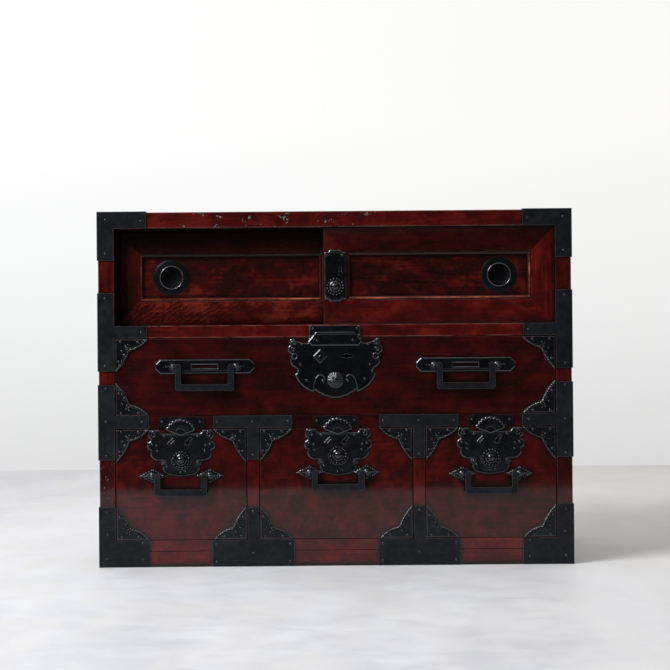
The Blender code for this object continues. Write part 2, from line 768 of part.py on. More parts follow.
def corner_plates(low_x, high_x, low_z, high_z, face):
    """The scalloped iron on the four corners of a drawer front, each let a little into the wood."""
    leg = CORNER_LEG
    tip_a, tip_b = (leg * 0.435, leg * 0.37), (leg * 0.355, leg * 0.55)
    corners = (
        (0.0, 0.0, 0.0),
        (leg, 0.0, leg * 0.055),
        (*tip_a, -leg * 0.07),
        (*tip_b, leg * 0.04),
        (0.0, leg, 0.0),
    )
    shape = outline_of(corners, closed=True)
    plates = []
    for corner_x, side in ((low_x + CORNER_INSET, 1), (high_x - CORNER_INSET, -1)):
        for corner_z, up in ((low_z + CORNER_INSET, 1), (high_z - CORNER_INSET, -1)):
            points = [(corner_x + side * x, corner_z + up * z) for x, z in shape]
            plates.append(moved(plate_mesh(points, IRON_T + IRON_ROOT), y=face + IRON_ROOT))
    return plates


def drawer_box(name, x, half_w, low, high, body):
    """A drawer's front, its sides and back in one tray, and its bottom board. Returns the front."""
    reach = half_w - DRAWER_RUN
    floor, top = low + GAP, high - DRAWER_RUN
    front_mesh = box_mesh((x - reach, FRONT, floor), (x + reach, FRONT + FRONT_T, top))
    front = node(f"{name}_front", front_mesh, LACQUER, body, EDGE)
    join(front, *corner_plates(x - reach, x + reach, floor, top, FRONT), finish=IRON)

    side = reach - TRAY_INSET
    start = FRONT + FRONT_T + GAP
    end = BACK_FACE - DRAWER_SHORT
    board_top = floor + BOARD_T
    node(f"{name}_bottom", box_mesh((x - side, start, floor), (x + side, end, board_top)), BARE_WOOD, body)
    wall_low, wall_high = board_top + GAP, top - TRAY_LOW
    tray_mesh = box_mesh((x - side, start, wall_low), (x + side, end, wall_high))
    tray = node(f"{name}_tray", tray_mesh, BARE_WOOD, body)
    low_corner = (x - side + WALL_T, start - WALL_T, wall_low - WALL_T)
    cut(tray, box_mesh(low_corner, (x + side - WALL_T, end - WALL_T, wall_high + WALL_T)))
    return front


def post_mesh():
    """A handle's post, from its tang in the drawer front to its ball head."""
    tip = -FRONT_T - TANG_OUT
    seat = GAP + PLATE_T / 2
    collar = GAP + PLATE_T + POST_COLLAR_H
    neck_end = STANDOFF - math.sqrt(POST_HEAD_R ** 2 - POST_NECK_R ** 2)
    profile = [(0, tip), (TANG_R, tip), (TANG_R, seat), (POST_COLLAR_R, seat)]
    profile += [(POST_COLLAR_R, GAP + PLATE_T), (POST_NECK_R * 1.4, collar)]
    profile += [(POST_NECK_R, collar + POST_COLLAR_H), (POST_NECK_R, neck_end)]
    for degrees in (-20, 10, 40, 68):
        angle = math.radians(degrees)
        profile.append((POST_HEAD_R * math.cos(angle), STANDOFF + POST_HEAD_R * math.sin(angle)))
    profile.append((0, STANDOFF + POST_HEAD_R))
    return turned_mesh(profile, 12)


def handle_plate(name, shape, x, z, post_places, front, body, hole=None):
    """A plate with the posts of a bail. The posts' tangs run through the drawer front."""
    plate = node(name, moved(plate_mesh(shape, PLATE_T), x, FRONT - GAP, z), IRON, body)
    for post_x in post_places:
        join(plate, moved(post_mesh(), post_x, FRONT, z))
        reach = POST_HEAD_R * 2
        axis_y = FRONT - STANDOFF
        eye = rod_mesh((post_x - reach, axis_y, z), (post_x + reach, axis_y, z), PIN_R + PIN_PLAY, 12)
        cut(plate, eye)
        bore = rod_mesh((post_x, FRONT - EDGE, z), (post_x, FRONT + FRONT_T + EDGE, z), TANG_R + GAP, 12)
        cut(front, bore)
    if hole:
        cut(plate, hole)


def bail(name, x, z, span, drop, body):
    """A square bail that hangs from two posts, with its origin on its pivot."""
    half = span / 2 - POST_HEAD_R - BAIL_PLAY
    inner = half - BAIL_LEG_W
    bar = BAIL_BAR_H - drop
    fillet = 1 - math.sqrt(0.5)
    corners = (
        (0.0, -drop, 0.0),
        (half - BAIL_CORNER_R, -drop, BAIL_CORNER_R * fillet),
        (half, BAIL_CORNER_R - drop, 0.0),
        (half, 0.0, BAIL_LEG_W / 2),
        (inner, 0.0, 0.0),
        (inner, bar + BAIL_INNER_R, -BAIL_INNER_R * fillet),
        (inner - BAIL_INNER_R, bar, 0.0),
        (0.0, bar, 0.0),
    )
    mesh = moved(plate_mesh(mirrored(outline_of(corners)), BAIL_T), y=BAIL_T / 2)
    made = node(name, mesh, IRON, body, BAIL_EDGE)
    pin_end = span / 2 + POST_HEAD_R + PIN_OUT
    place = Vector((x, FRONT - STANDOFF, z))
    made.location = place
    pins = []
    for side in (-1, 1):
        pins.append(rod_mesh((side * (half - BAIL_LEG_W / 2), 0, 0), (side * pin_end, 0, 0), PIN_R, 12))
    join(made, *pins)
    bpy.data.objects[f"{name}_union"].location = place


def wide_drawer():
    body = body_empty("wide_drawer_body", (0, FRONT, Z_WIDE))
    front = drawer_box("wide_drawer", 0.0, INNER, Z_WIDE, Z_UPPER_RAIL, body)
    pivot = Z_UPPER_RAIL - WIDE_HANDLE_HANG
    half_w, half_h, corner = WIDE_PLATE_W / 2, WIDE_PLATE_H / 2, WIDE_PLATE_CUT
    octagon = [(half_w - corner, half_h), (half_w, half_h - corner)]
    octagon += [(x, -z) for x, z in reversed(octagon)]
    octagon += [(-x, z) for x, z in reversed(octagon)]
    for side, name in ((-1, "wide_left"), (1, "wide_right")):
        x = side * (INNER - WIDE_HANDLE_INSET)
        posts = (x - WIDE_POST_SPAN / 2, x + WIDE_POST_SPAN / 2)
        low = (x - SLOT_W / 2, FRONT - GAP - PLATE_T * 2, pivot - SLOT_H / 2)
        slot = box_mesh(low, (x + SLOT_W / 2, FRONT, pivot + SLOT_H / 2))
        handle_plate(f"{name}_handle_plate", octagon, x, pivot, posts, front, body, slot)
        bail(f"{name}_bail", x, pivot, WIDE_POST_SPAN, WIDE_BAIL_DROP, body)

    foot = Z_UPPER_RAIL - WIDE_LOCK_HANG
    plate = plate_mesh(mirrored(outline_of(WIDE_LOCK_HALF)), LOCK_T)
    lock = node("wide_drawer_lock", moved(plate, y=FRONT - GAP, z=foot), IRON, body)
    case_x, case_z = WIDE_CASE_X, foot + WIDE_CASE_LIFT
    rosette = [moved(mesh, y=FRONT - GAP, z=foot + ROSETTE_LIFT) for mesh in rosette_meshes()]
    boss = moved(lozenge_mesh(LOZENGE_R), WIDE_BOSS_X, FRONT - GAP, foot + WIDE_BOSS_LIFT)
    join(lock, tongue(WIDE_TONGUE_HALF, 0.0, foot), lock_case(case_x, FRONT, case_z))
    cut(lock, keyhole(case_x, case_z - KEYHOLE_DROP, FRONT))
    join(lock, boss, rosette[0])
    join(lock, rosette[1])
    cut(front, lock_case(case_x, FRONT, case_z, GAP))


def tongue(half, x, foot):
    """The part of a lock plate that stands in front of the keeper on the rail above."""
    return moved(plate_mesh(mirrored(outline_of(half)), TONGUE_PLATE_T), x, FRONT - IRON_OUT, foot)


def shell_tongue(x, foot):
    arc = scalloped(0, SHELL_Z, SHELL_R, SHELL_SCALLOP, SHELL_LOBES, 90 - SHELL_SPREAD, 90 + SHELL_SPREAD)
    points = [(0, SHELL_Z - SHELL_SCALLOP)] + arc
    return moved(plate_mesh(points, TONGUE_PLATE_T), x, FRONT - IRON_OUT, foot)


def small_drawers():
    for name, x, half_w in small_bays():
        middle = name == "middle_drawer"
        body = body_empty(f"{name}_body", (x, FRONT, Z_SMALL))
        front = drawer_box(name, x, half_w, Z_SMALL, Z_LOWER_RAIL, body)
        pivot = Z_LOWER_RAIL - (MIDDLE_HANDLE_HANG if middle else SMALL_HANDLE_HANG)
        half_plate, half_h = LOZENGE_PLATE_W / 2, LOZENGE_PLATE_H / 2
        diamond = [(half_plate, 0), (0, half_h), (-half_plate, 0), (0, -half_h)]
        x += MIDDLE_FITTINGS_X if middle else 0.0
        for side, hand in ((-1, "left"), (1, "right")):
            post_x = x + side * SMALL_POST_SPAN / 2
            handle_plate(f"{name}_{hand}_post_plate", diamond, post_x, pivot, (post_x,), front, body)
        drop = MIDDLE_BAIL_DROP if middle else SMALL_BAIL_DROP
        bail(f"{name}_bail", x, pivot, SMALL_POST_SPAN, drop, body)

        foot = Z_LOWER_RAIL - SMALL_LOCK_HANG
        plate = plate_mesh(mirrored(outline_of(SMALL_LOCK_HALF)), LOCK_T)
        lock = node(f"{name}_lock", moved(plate, x, FRONT - GAP, foot), IRON, body)
        case_x, case_z = x + SMALL_CASE_X, foot + SMALL_CASE_LIFT
        knob_z = foot + (MIDDLE_KNOB_LIFT if middle else SMALL_KNOB_LIFT)
        knob = moved(knob_mesh(), x, FRONT - GAP, knob_z)
        boss = moved(lozenge_mesh(SMALL_BOSS_R), x + SMALL_BOSS_X, FRONT - GAP, foot + SMALL_BOSS_LIFT)
        join(lock, shell_tongue(x, foot), lock_case(case_x, FRONT, case_z))
        cut(lock, keyhole(case_x, case_z - KEYHOLE_DROP, FRONT))
        join(lock, knob, boss)
        cut(front, lock_case(case_x, FRONT, case_z, GAP))


clear_scene()
PARTS = collection("tansu_chest")
CUTTERS = collection("cutters")
carcass()
carcass_irons()
door("left_door", -1, REAR_TRACK)
door_lock(*door("right_door", 1, DOOR_RECESS))
wide_drawer()
small_drawers()
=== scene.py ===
"""Looks of the tansu chest: lacquer, ironwork with its relief and nails, floor, light and camera.

Lengths are in metres, in the CAD frame: the chest's front faces -Y and it stands on z = 0.
"""

from cmath import rect
from math import atan2, copysign, cos, dist, pi, radians, sin

import bmesh
import bpy
import numpy as np
from mathutils import Matrix, Vector
from mathutils.geometry import delaunay_2d_cdt


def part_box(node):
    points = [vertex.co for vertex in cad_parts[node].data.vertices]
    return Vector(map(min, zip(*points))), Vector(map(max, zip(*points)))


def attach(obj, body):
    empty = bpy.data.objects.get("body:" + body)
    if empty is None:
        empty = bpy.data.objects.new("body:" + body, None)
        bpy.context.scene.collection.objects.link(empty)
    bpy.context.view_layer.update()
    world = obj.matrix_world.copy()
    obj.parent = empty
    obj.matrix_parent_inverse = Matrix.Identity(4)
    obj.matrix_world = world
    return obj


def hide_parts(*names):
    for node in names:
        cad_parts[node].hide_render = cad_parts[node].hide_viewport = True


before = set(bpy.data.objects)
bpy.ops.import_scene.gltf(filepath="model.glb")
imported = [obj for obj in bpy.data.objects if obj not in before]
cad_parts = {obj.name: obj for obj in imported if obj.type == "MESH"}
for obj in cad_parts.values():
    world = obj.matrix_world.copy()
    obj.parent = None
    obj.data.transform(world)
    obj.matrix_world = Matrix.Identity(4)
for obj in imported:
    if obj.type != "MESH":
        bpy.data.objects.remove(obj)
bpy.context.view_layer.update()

# Places taken from the frame
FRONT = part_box("base_rail")[0].y
Z_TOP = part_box("top_panel")[0].z
BASE_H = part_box("bottom_board")[1].z
LOWER_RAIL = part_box("lower_shelf")[0].z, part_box("lower_shelf")[1].z
UPPER_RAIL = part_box("upper_shelf")[0].z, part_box("upper_shelf")[1].z
SMALL_DRAWERS = ("left_drawer", "middle_drawer", "right_drawer")
DRAWERS = ("wide_drawer", *SMALL_DRAWERS)
HANDS = ("left", "right")
GAP = 0.0003
MM = 0.001

# Photograph's frame, 670 by 670 pixels
LENS = 85.0
SENSOR = 36.0
EYE_HEIGHT = 0.439
EYE_DISTANCE = 3.01
ROLL = radians(-0.47)

# Light and stage
KEY_POWER = 218
KEY_PLACE = (-2.79, -2.27, 3.22)
KEY_SIZE = (2, 1.6)
KEY_AIM = (0, FRONT, 0.36)
KEY_COLOUR = (0.985, 0.99, 1)
FLOOR_HALF = 4.5
FLOOR_NEAR = FRONT - 1.5
FLOOR_FAR = 2.01
FLOOR_SHADES = ((0.555, 0.562, 0.6), (0.67, 0.678, 0.717), (0.74, 0.748, 0.785))
FLOOR_CREAM = (0.655, 0.646, 0.632)
# Painted shadow to the right of the chest, darker and warmer
FLOOR_SHADOW_TINT = ((0.585, 0.56, 0.53), (0.66, 0.645, 0.625))
WALL_STOPS = ((-0.1, (0.72, 0.72, 0.73)), (0.02, (0.91, 0.915, 0.92)), (0.13, (1.02, 1.02, 1.02)))
WALL_SIDES = ((-0.2, (1, 1, 1)), (0.2, (0.935, 0.93, 0.92)))
ROOM_STOPS = (
    (-0.9, (0.03, 0.03, 0.03)), (-0.2, (0.05, 0.05, 0.05)), (0.1, (0.12, 0.12, 0.12)),
    (0.6, (0.78, 0.74, 0.69)),
)
SKY_STOPS = ((0.25, (0, 0, 0)), (0.6, (0.26, 0.26, 0.26)), (1, (0.72, 0.71, 0.69)))
GLOSSY_WALL = (0.1, 0.6)

# Lacquer, from its dark to its light patches
LACQUER_SHADES = ((0.028, 0.0016, 0.0014), (0.053, 0.0027, 0.0021), (0.094, 0.0066, 0.0038))
EMBER_SHADES = ((0.024, 0.0015, 0.0012), (0.052, 0.0031, 0.0021), (0.135, 0.015, 0.0064))
# Bright orange bead colours, partly worn lacquer and partly painted highlight
MOULD_SHADES = ((0.04, 0.005, 0.003), (0.16, 0.03, 0.012), (0.48, 0.13, 0.052))
PANEL_SHADES = ((0.0075, 0.0008, 0.0007), (0.0195, 0.0014, 0.0011), (0.064, 0.0054, 0.0028))
WORN_LACQUER = (0.26, 0.09, 0.075)
BARE_CHIP = (0.27, 0.21, 0.18)
BURNT_CHIP = (0.01, 0.006, 0.005)
# Painted shade, partly grime, laid in corners, recesses and beside the irons
GRIME_AND_SHADE = (0.004, 0.0008, 0.0007)

# Chipped stretches: axis, from, to, chips to a metre, stretch of each axis
TOP_CHIPS = ("X", -0.38, 0.14, 84, (0.45, 1, 1))
LEFT_CHIPS = ("Z", 0.11, 0.21, 170, (2.2, 1, 0.5))

# Iron, what wear and damp make of it, and painted shade for its hollows
SHEET_SHADES = ((0.0062, 0.0067, 0.008), (0.013, 0.014, 0.0168))
IRON_SHADES = ((0.0018, 0.0021, 0.0027), (0.0044, 0.005, 0.0064))
IRON_WORN = (0.24, 0.24, 0.25)
IRON_BRIGHT = (0.74, 0.76, 0.8)
IRON_DEEP = (0.0012, 0.0013, 0.0016)
IRON_RUST = (0.024, 0.009, 0.006)
IRON_SHEEN = (0.86, 0.93, 1, 1)
RIDGE_LEVELS = (0.53, 0.62)
LIP_SHADES = ((0.045, 0.03, 0.024), (0.1, 0.068, 0.054))

# Softened edges of the CAD solids
SOFT = 0.0009
FINE_SOFT = 0.0006

# Ironwork
ARC_STEPS = 8
RELIEF_ANGLE = 50
IRON_T = 0.0016
NAIL_R = 0.0025
NAIL_RISE = 0.0013
NAIL_SEAT = 0.0017
NAIL_INSET = 0.008
BASE_NAIL_INSET = 0.009
KNOB_SEAT = 0.0019
TONGUE_BACK = 0.002
CORNER_INSET = 0.0013
BALL_R = 0.0092
BALL_SINK = 0.0033
BEAD_RING_R = 0.015
BEAD_R = 0.0022
DOOR_BEAD_R = 0.0014
KNOB_BEADS = 16
POST_PROFILE = (
    (0, -0.0005), (0.0062, -0.0005), (0.0064, 0.0024), (0.0055, 0.0034), (0.0036, 0.0042), (0.0027, 0.0052),
)
POST_HEAD_R = 0.0038
POST_HEAD_REACH = 0.011
CASE_HALF = (0.0128, 0.0148)
CASE_DEPTH = (0.0098, 0.0118)
DOOR_CASE_OUT = 0.01
DISH_R = 0.0213
LIP_R = 0.0228

# Ironwork in millimetres; outlines have x, height and the bow of the edge after each corner
PLATE_T = 2
PLATE_RIM = 0.15
CHAMFER = 1.9
HAMMER_DEPTH = 0.012
TONGUE_T = 1.9
CORNER_T = 1.75
KEEPER_T = 1.72
CORNER_LEG = 62
CORNER_OUTLINE = ((0, 0, 0), (62.3, 0, 3.4), (28, 21.5, -1.2), (23.4, 28.6, 1.8), (0, 62.3, 0))
CORNER_BEADS = (
    (28.4, 18.2, 1.5, 1.2), (37.4, 15.4, 1.4, 1.1), (47.5, 10.5, 1.4, 1.1), (44.5, 5.6, 1.2, 0.9),
    (19.4, 13, 1.5, 1.1), (24.8, 10.5, 1.3, 1), (16.6, 32, 1.3, 1), (11.5, 41, 1.3, 1),
    (6.5, 49, 1.2, 0.9), (12, 22, 1.4, 1),
)
CORNER_CURLS = ((22.5, 18, 4, 1, 20, -420), (17, 31, 3.6, 1, 40, 420))
CORNER_NAILS = ((9.5, 4.5), (6, 42), (42, 5))
WIDE_LOCK_HALF = (
    (0, 0, 1.3), (14.3, 2.6, 1.3), (27.3, 7.9, 1.2), (39, 16, 0), (43, 11.5, 5.6), (76.5, 45, -5.5),
    (77, 58, 3.8), (84.3, 75.5, -1), (84.2, 84, 4.6), (86, 99.5, -0.8), (86, 104.5, 3.2),
    (80, 112.5, -3), (51.5, 104, 0), (49.5, 113.5, 0), (0, 113.5, 0),
)
WIDE_RING = (77.3, 79)
WIDE_RING_R = 4
WIDE_COLLAR_R = 5.2
WIDE_SLOT = ((11, 77), (18, 77), (18, 75), (25, 75), (25, 77), (33, 77))
WIDE_SCROLL = (
    (41, 11), (41.5, 20), (40.4, 28.5), (37.2, 36.8), (31.5, 42.8), (25.8, 43.6), (21.2, 40.2), (20.4, 35.2),
)
WIDE_CURLS = ((78, 104, 5.6, 1.5, -40, 400), (80, 92, 4.6, 1.4, 150, -380))
WIDE_TICK = ((-31, 77.5), (-28, 80.5))
WIDE_DIAMOND = (-28.5, 79)
WIDE_CASE = (22, 85)
WIDE_TONGUE_TOP = 125
WIDE_TONGUE_LOBES = 5
WIDE_TONGUE_SIDE = ((46, 100, -1.5), (52, 105, 0), (36.5, WIDE_TONGUE_TOP, 0), (0, WIDE_TONGUE_TOP, 0))
WIDE_LOCK_NAILS = ((-54, 33), (56, 35), (-66, 63), (66, 63), (-63, 101.5), (63, 101.5))
WIDE_TONGUE_NAILS = ((-34, 109), (34, 109))
WIDE_LOCK_EYES = ((23.6, 32.4, 2.8, 1.9), (71.8, 51, 3.4, 2.4))
ROSETTE_LIFT = 33.4
ROSETTE_R = 15.8
ROSETTE_PETALS = 18
SMALL_LOCK_HALF = (
    (0, 0, 0.7), (8.8, 0.6, 0.7), (17.5, 1.9, 0.7), (26, 4.3, 4.2), (33.8, 21.9, -4), (34.3, 30.9, 3.2),
    (55.1, 35.2, 2.1), (56.7, 48.5, -0.5), (61.4, 51.2, 4.2), (58.8, 66.7, -2.9), (60.8, 72.5, 2.1),
    (59, 88, 0), (41.6, 88, -2.1), (33.3, 81.1, 0), (0, 81.1, 0),
)
SMALL_LOCK_CURL = (51.5, 79.8, 6, 2, 90, -330)
SMALL_LOCK_ROLLS = (32.5, 25.5)
SMALL_CASE = (12, 72)
KNOB_RING_R = 18.4
SMALL_LOCK_NAILS = ((-31.5, 76.5), (31.5, 76.5))
SMALL_LOCK_EYES = ((55, 61, 2.5, 1.7), (46.5, 59, 1.9, 1.2), (45, 48.5, 1.8, 1.1))
SMALL_LOCK_BEADS = ((-27, 18.5, 1.8, 1.2), (-1, 7.2, 1.6, 1.1), (8, 9.6, 1.5, 1))
SMALL_LOCK_BARS = (([(-26, 62), (-15.5, 72.5)], 1.3, 1.5), ([(-20.5, 60.5), (-13, 68)], 0.9, 0.8))
SMALL_KEYHOLE = (12, 64, -34)
KEYHOLE_R = 3.8
KEYHOLE_SLOT = (1.5, 12)
KNOB_LIFTS = (31.5, 38.5, 31.5)
SHELL_Z = 79.5
SHELL_R = 28
SHELL_SCALLOP = 2.2
SHELL_LOBES = 9
SHELL_SPREAD = 74
SHELL_BEADS = 11
DOOR_LOCK_HALF = (
    (0, 0, 0), (10, 0, -1.5), (16.5, 4.5, 1.8), (20, 7, 0), (20, 91, 1.8), (16.5, 93.5, -1.5), (10, 98, 0),
    (0, 98, 0),
)
DOOR_KEYHOLE = (10, 53)
DOOR_KNOB_LIFT = 28
DOOR_CASE = (10, 61)
DOOR_LOCK_NAILS = ((-16.5, 88), (14.5, 88), (-17, 8.5))
KEEPER_H = (LOWER_RAIL[1] - LOWER_RAIL[0]) / MM - 2
KEEPER_OUTLINE = (
    (-44.4, 0, 0), (44.4, 0, 0), (43.2, 11, 2.6), (34, KEEPER_H, 0), (-34, KEEPER_H, 2.6), (-43.2, 11, 0),
)
KEEPER_NAILS = ((-36, 12.5), (36, 12.5))
WIDE_KEEPER_OUTLINE = ((-48.4, 0, 0), (48.4, 0, 0), (48.4, KEEPER_H, 0), (-48.4, KEEPER_H, 0))
WIDE_KEEPER_NAILS = ((-42, 15.5), (42, 15.5))
HANDLE_POST = 60
SIDE_NAILS = (
    (435, 661), (368, 659), (436, 597), (438, 383), (437, 512), (368, 447), (437, 341), (437, 277),
    (437, 212), (368, 276), (435, 62), (437, 105), (368, 46), (368, 15), (437, 16),
)

# Door frames
DOOR_RUN = 0.0008
DOOR_BAR = 0.044
DOOR_RAIL_EXTRA = 0.002
DOOR_SOFT = 0.001
PANEL_GAP = 0.0004
GROOVE_TONGUE = (0.007, 0.017)
GROOVE_LAP = 0.002

# Door bars and finger pull in millimetres: inset from the edge and depth, and radius and reach
DOOR_SECTION = (
    (0, 1), (0.3, 0.3), (1, 0), (43, 0), (43.7, 0.3), (44, 1.2), (44.2, 2.4), (44.9, 2.6),
    (45.4, 2), (46.4, 1.5), (47.4, 1.6), (48.3, 2.3), (48.8, 3.4), (49, 4.6), (50.4, 5.6), (51, 6.6),
)
MOULD_FROM = 46
MOULD_TO = 48.5
PULL_PROFILE = (
    (0, -12.5), (25.5, -12.5), (25.5, 0.2), (34.2, 0.2), (34.5, 0.5), (32, 1.7), (24, 1.8),
    (22.7, 1.9), (22.4, 2.6), (21.9, 2.9), (21.4, 2.6), (21.2, 1.8), (21.2, -0.5), (21, -5), (19.8, -8.6),
    (16.5, -10.6), (9, -11.2), (0, -11.2),
)


# Meshes


def mesh_of(bm, name, smooth_angle=35):
    bmesh.ops.recalc_face_normals(bm, faces=bm.faces)
    mesh = bpy.data.meshes.new(name)
    bm.to_mesh(mesh)
    bm.free()
    mesh.shade_smooth()
    mesh.set_sharp_from_angle(angle=radians(smooth_angle))
    return mesh


def linked(name, data):
    obj = bpy.data.objects.new(name, data)
    bpy.context.scene.collection.objects.link(obj)
    return obj


def piece(name, mesh, finishes, body, nodes=()):
    """Shows a mesh as a piece on a body, in place of the CAD nodes it stands for."""
    obj = linked(name, mesh)
    for finish in finishes if isinstance(finishes, tuple) else (finishes,):
        mesh.materials.append(finish)
    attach(obj, body)
    if nodes:
        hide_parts(*nodes)


def middle(node):
    """The middle of a CAD node's box."""
    return [(low + high) / 2 for low, high in zip(*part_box(node))]


def spots(x, y, z, places):
    """Places from offsets in millimetres along x and z."""
    return [(x + a * MM, y, z + b * MM) for a, b in places]


def discard(*meshes):
    for mesh in meshes:
        bpy.data.meshes.remove(mesh)


def rounded_box(bm, low, high, radius, segments=2):
    """Adds a box with rounded edges."""
    low, high = Vector(low), Vector(high)
    place = Matrix.Translation((low + high) / 2) @ Matrix.Diagonal((*(high - low), 1))
    made = bmesh.ops.create_cube(bm, size=1, matrix=place)
    edges = {edge for vert in made["verts"] for edge in vert.link_edges}
    bmesh.ops.bevel(bm, geom=list(edges), offset=radius, segments=segments, affect="EDGES", profile=0.5)


def lathe(bm, profile, place, steps=48):
    """Adds a solid turned about the Y axis from radii and reaches towards -Y."""
    rings = []
    for radius, reach in profile:
        angles = [2 * pi * i / steps for i in range(steps if radius else 1)]
        spokes = [Vector((radius * cos(angle), -reach, radius * sin(angle))) for angle in angles]
        rings.append([bm.verts.new(spoke + place) for spoke in spokes])
    for low, high in zip(rings, rings[1:]):
        for i in range(steps):
            j = (i + 1) % steps
            corners = [low[i % len(low)], low[j % len(low)], high[j % len(high)], high[i % len(high)]]
            bm.faces.new(dict.fromkeys(corners))


def arc(radius, rise, centre, degrees):
    """Points of a profile on an arc about its axis."""
    angles = [radians(degree) for degree in degrees]
    return [(radius * cos(angle), centre + rise * sin(angle)) for angle in angles]


def dome(bm, place, radius, rise, steps=12):
    """Adds a low round head that stands on a surface facing -Y."""
    foot, shoulder = -rise * 0.2, rise * 0.15
    profile = [(0, foot), (radius, foot), (radius, shoulder)]
    profile += [*arc(radius, rise * 0.85, shoulder, (25, 50, 72)), (0, rise)]
    lathe(bm, profile, Vector(place), steps)


# Outlines


def bowed(start, end, rise):
    """Points from start up to, not at, end on an arc that bows by rise to the right."""
    if not rise:
        return [start]
    first, way = complex(*start), complex(*end) - complex(*start)
    half = abs(way) / 2
    radius = (half * half + rise * rise) / (2 * rise)
    centre = first + way / 2 - 1j * way * (rise - radius) / (2 * half)
    sweep = copysign(2 * atan2(half, abs(radius) - abs(rise)), rise)
    run = [centre + (first - centre) * rect(1, sweep * i / ARC_STEPS) for i in range(1, ARC_STEPS)]
    return [start] + [(point.real, point.imag) for point in run]


def outline_of(corners):
    """A closed outline from corners of x, z and the bow of the edge after each."""
    points = []
    for (x, z, rise), after in zip(corners, corners[1:] + corners[:1]):
        points += bowed((x, z), after[:2], rise)
    return points


def mirrored(half):
    """A closed outline from the corners of its right half, from foot to crown."""
    run = outline_of(half)
    return run + [(-x, z) for x, z in reversed(run) if x]


def circle(x, z, radius, steps=24):
    turns = [2 * pi * i / steps for i in range(steps)]
    return [(x + radius * cos(t), z + radius * sin(t)) for t in turns]


def spiral(x, z, first_r, last_r, first, sweep, steps=22):
    """An open spiral about a point, with angles in degrees."""
    points = []
    for i in range(steps + 1):
        share = i / steps
        radius = first_r + (last_r - first_r) * share
        angle = radians(first + sweep * share)
        points.append((x + radius * cos(angle), z + radius * sin(angle)))
    return points


# Relief plates


def distance(x, z, line, closed=False):
    """How far each point is from a run of points."""
    ends = np.array(line, float)
    starts, stops = (ends, np.roll(ends, -1, 0)) if closed else (ends[:-1], ends[1:])
    best = np.full(len(x), 1e9)
    for (ax, az), (bx, bz) in zip(starts, stops):
        length = max((bx - ax) ** 2 + (bz - az) ** 2, 1e-16)
        share = np.clip(((x - ax) * (bx - ax) + (z - az) * (bz - az)) / length, 0, 1)
        best = np.minimum(best, np.hypot(x - ax - share * (bx - ax), z - az - share * (bz - az)))
    return best


def inside(x, z, loop):
    """Which points lie within a closed outline."""
    within = np.zeros(len(x), bool)
    for (ax, az), (bx, bz) in zip(loop, loop[1:] + loop[:1]):
        if az == bz:
            continue
        crosses = (az > z) != (bz > z)
        within ^= crosses & (x < ax + (z - az) / (bz - az) * (bx - ax))
    return within


def resampled(loop, step):
    points = []
    for start, end in zip(loop, loop[1:] + loop[:1]):
        count = max(1, round(dist(start, end) / step))
        for i in range(count):
            share = i / count
            points.append(tuple(a + (b - a) * share for a, b in zip(start, end)))
    return points


def spaced(line, step):
    """Points of an open run that are at least a step apart."""
    points, run = [], 0
    for start, end in zip(line, line[1:]):
        run += dist(start, end)
        if run >= step:
            points.append(end)
            run = 0
    return points


def bump(far, reach):
    """A round ridge or bead, 1 in its middle and 0 from its reach on."""
    return np.sqrt(np.clip(1 - (far / reach) ** 2, 0, 1))


def rolled_edge(d, thick, rim_rise):
    """A plate's height, with a chamfered edge that falls a little inwards."""
    share = np.clip(d / CHAMFER, 0, 1)
    return thick * (0.42 + 0.58 * share) + rim_rise * share * np.clip((4.6 - d) / 2.6, 0, 1)


def sheet(d, thick, bevel):
    """A flat plate's height, with a narrow bevel along its edge."""
    return thick * (0.5 + 0.5 * np.clip(d / bevel, 0, 1))


def hammered(x, z):
    """The slight unevenness of forged sheet."""
    return HAMMER_DEPTH * np.sin(0.41 * x + 1.3 * np.sin(0.19 * z)) * np.cos(0.37 * z + np.sin(0.23 * x))


def forged(x, z, d, thick=PLATE_T):
    """The height of a lock's or handle's plate before its ornament."""
    return rolled_edge(d, thick, PLATE_RIM) + hammered(x, z)


def hems(loop):
    """Points just inside an outline, so that its chamfered edge has faces of its own."""
    ends = np.array(loop)
    way = np.roll(ends, -1, 0) - np.roll(ends, 1, 0)
    way /= np.maximum(np.hypot(*way.T), 1e-9)[:, None]
    points = []
    for offset in (CHAMFER * 0.5, CHAMFER):
        for side in (-1, 1):
            x, z = (ends + side * offset * np.stack((-way[:, 1], way[:, 0]), 1)).T
            keep = inside(x, z, loop) & (distance(x, z, loop, True) > offset * 0.9)
            points += zip(x[keep], z[keep])
    return points


def clear(x, z, holes, margin=0):
    """Which points lie outside all holes, with a margin round each."""
    free = np.ones(len(x), bool)
    for hole in holes:
        free &= ~inside(x, z, hole) & (distance(x, z, hole, True) >= margin)
    return free


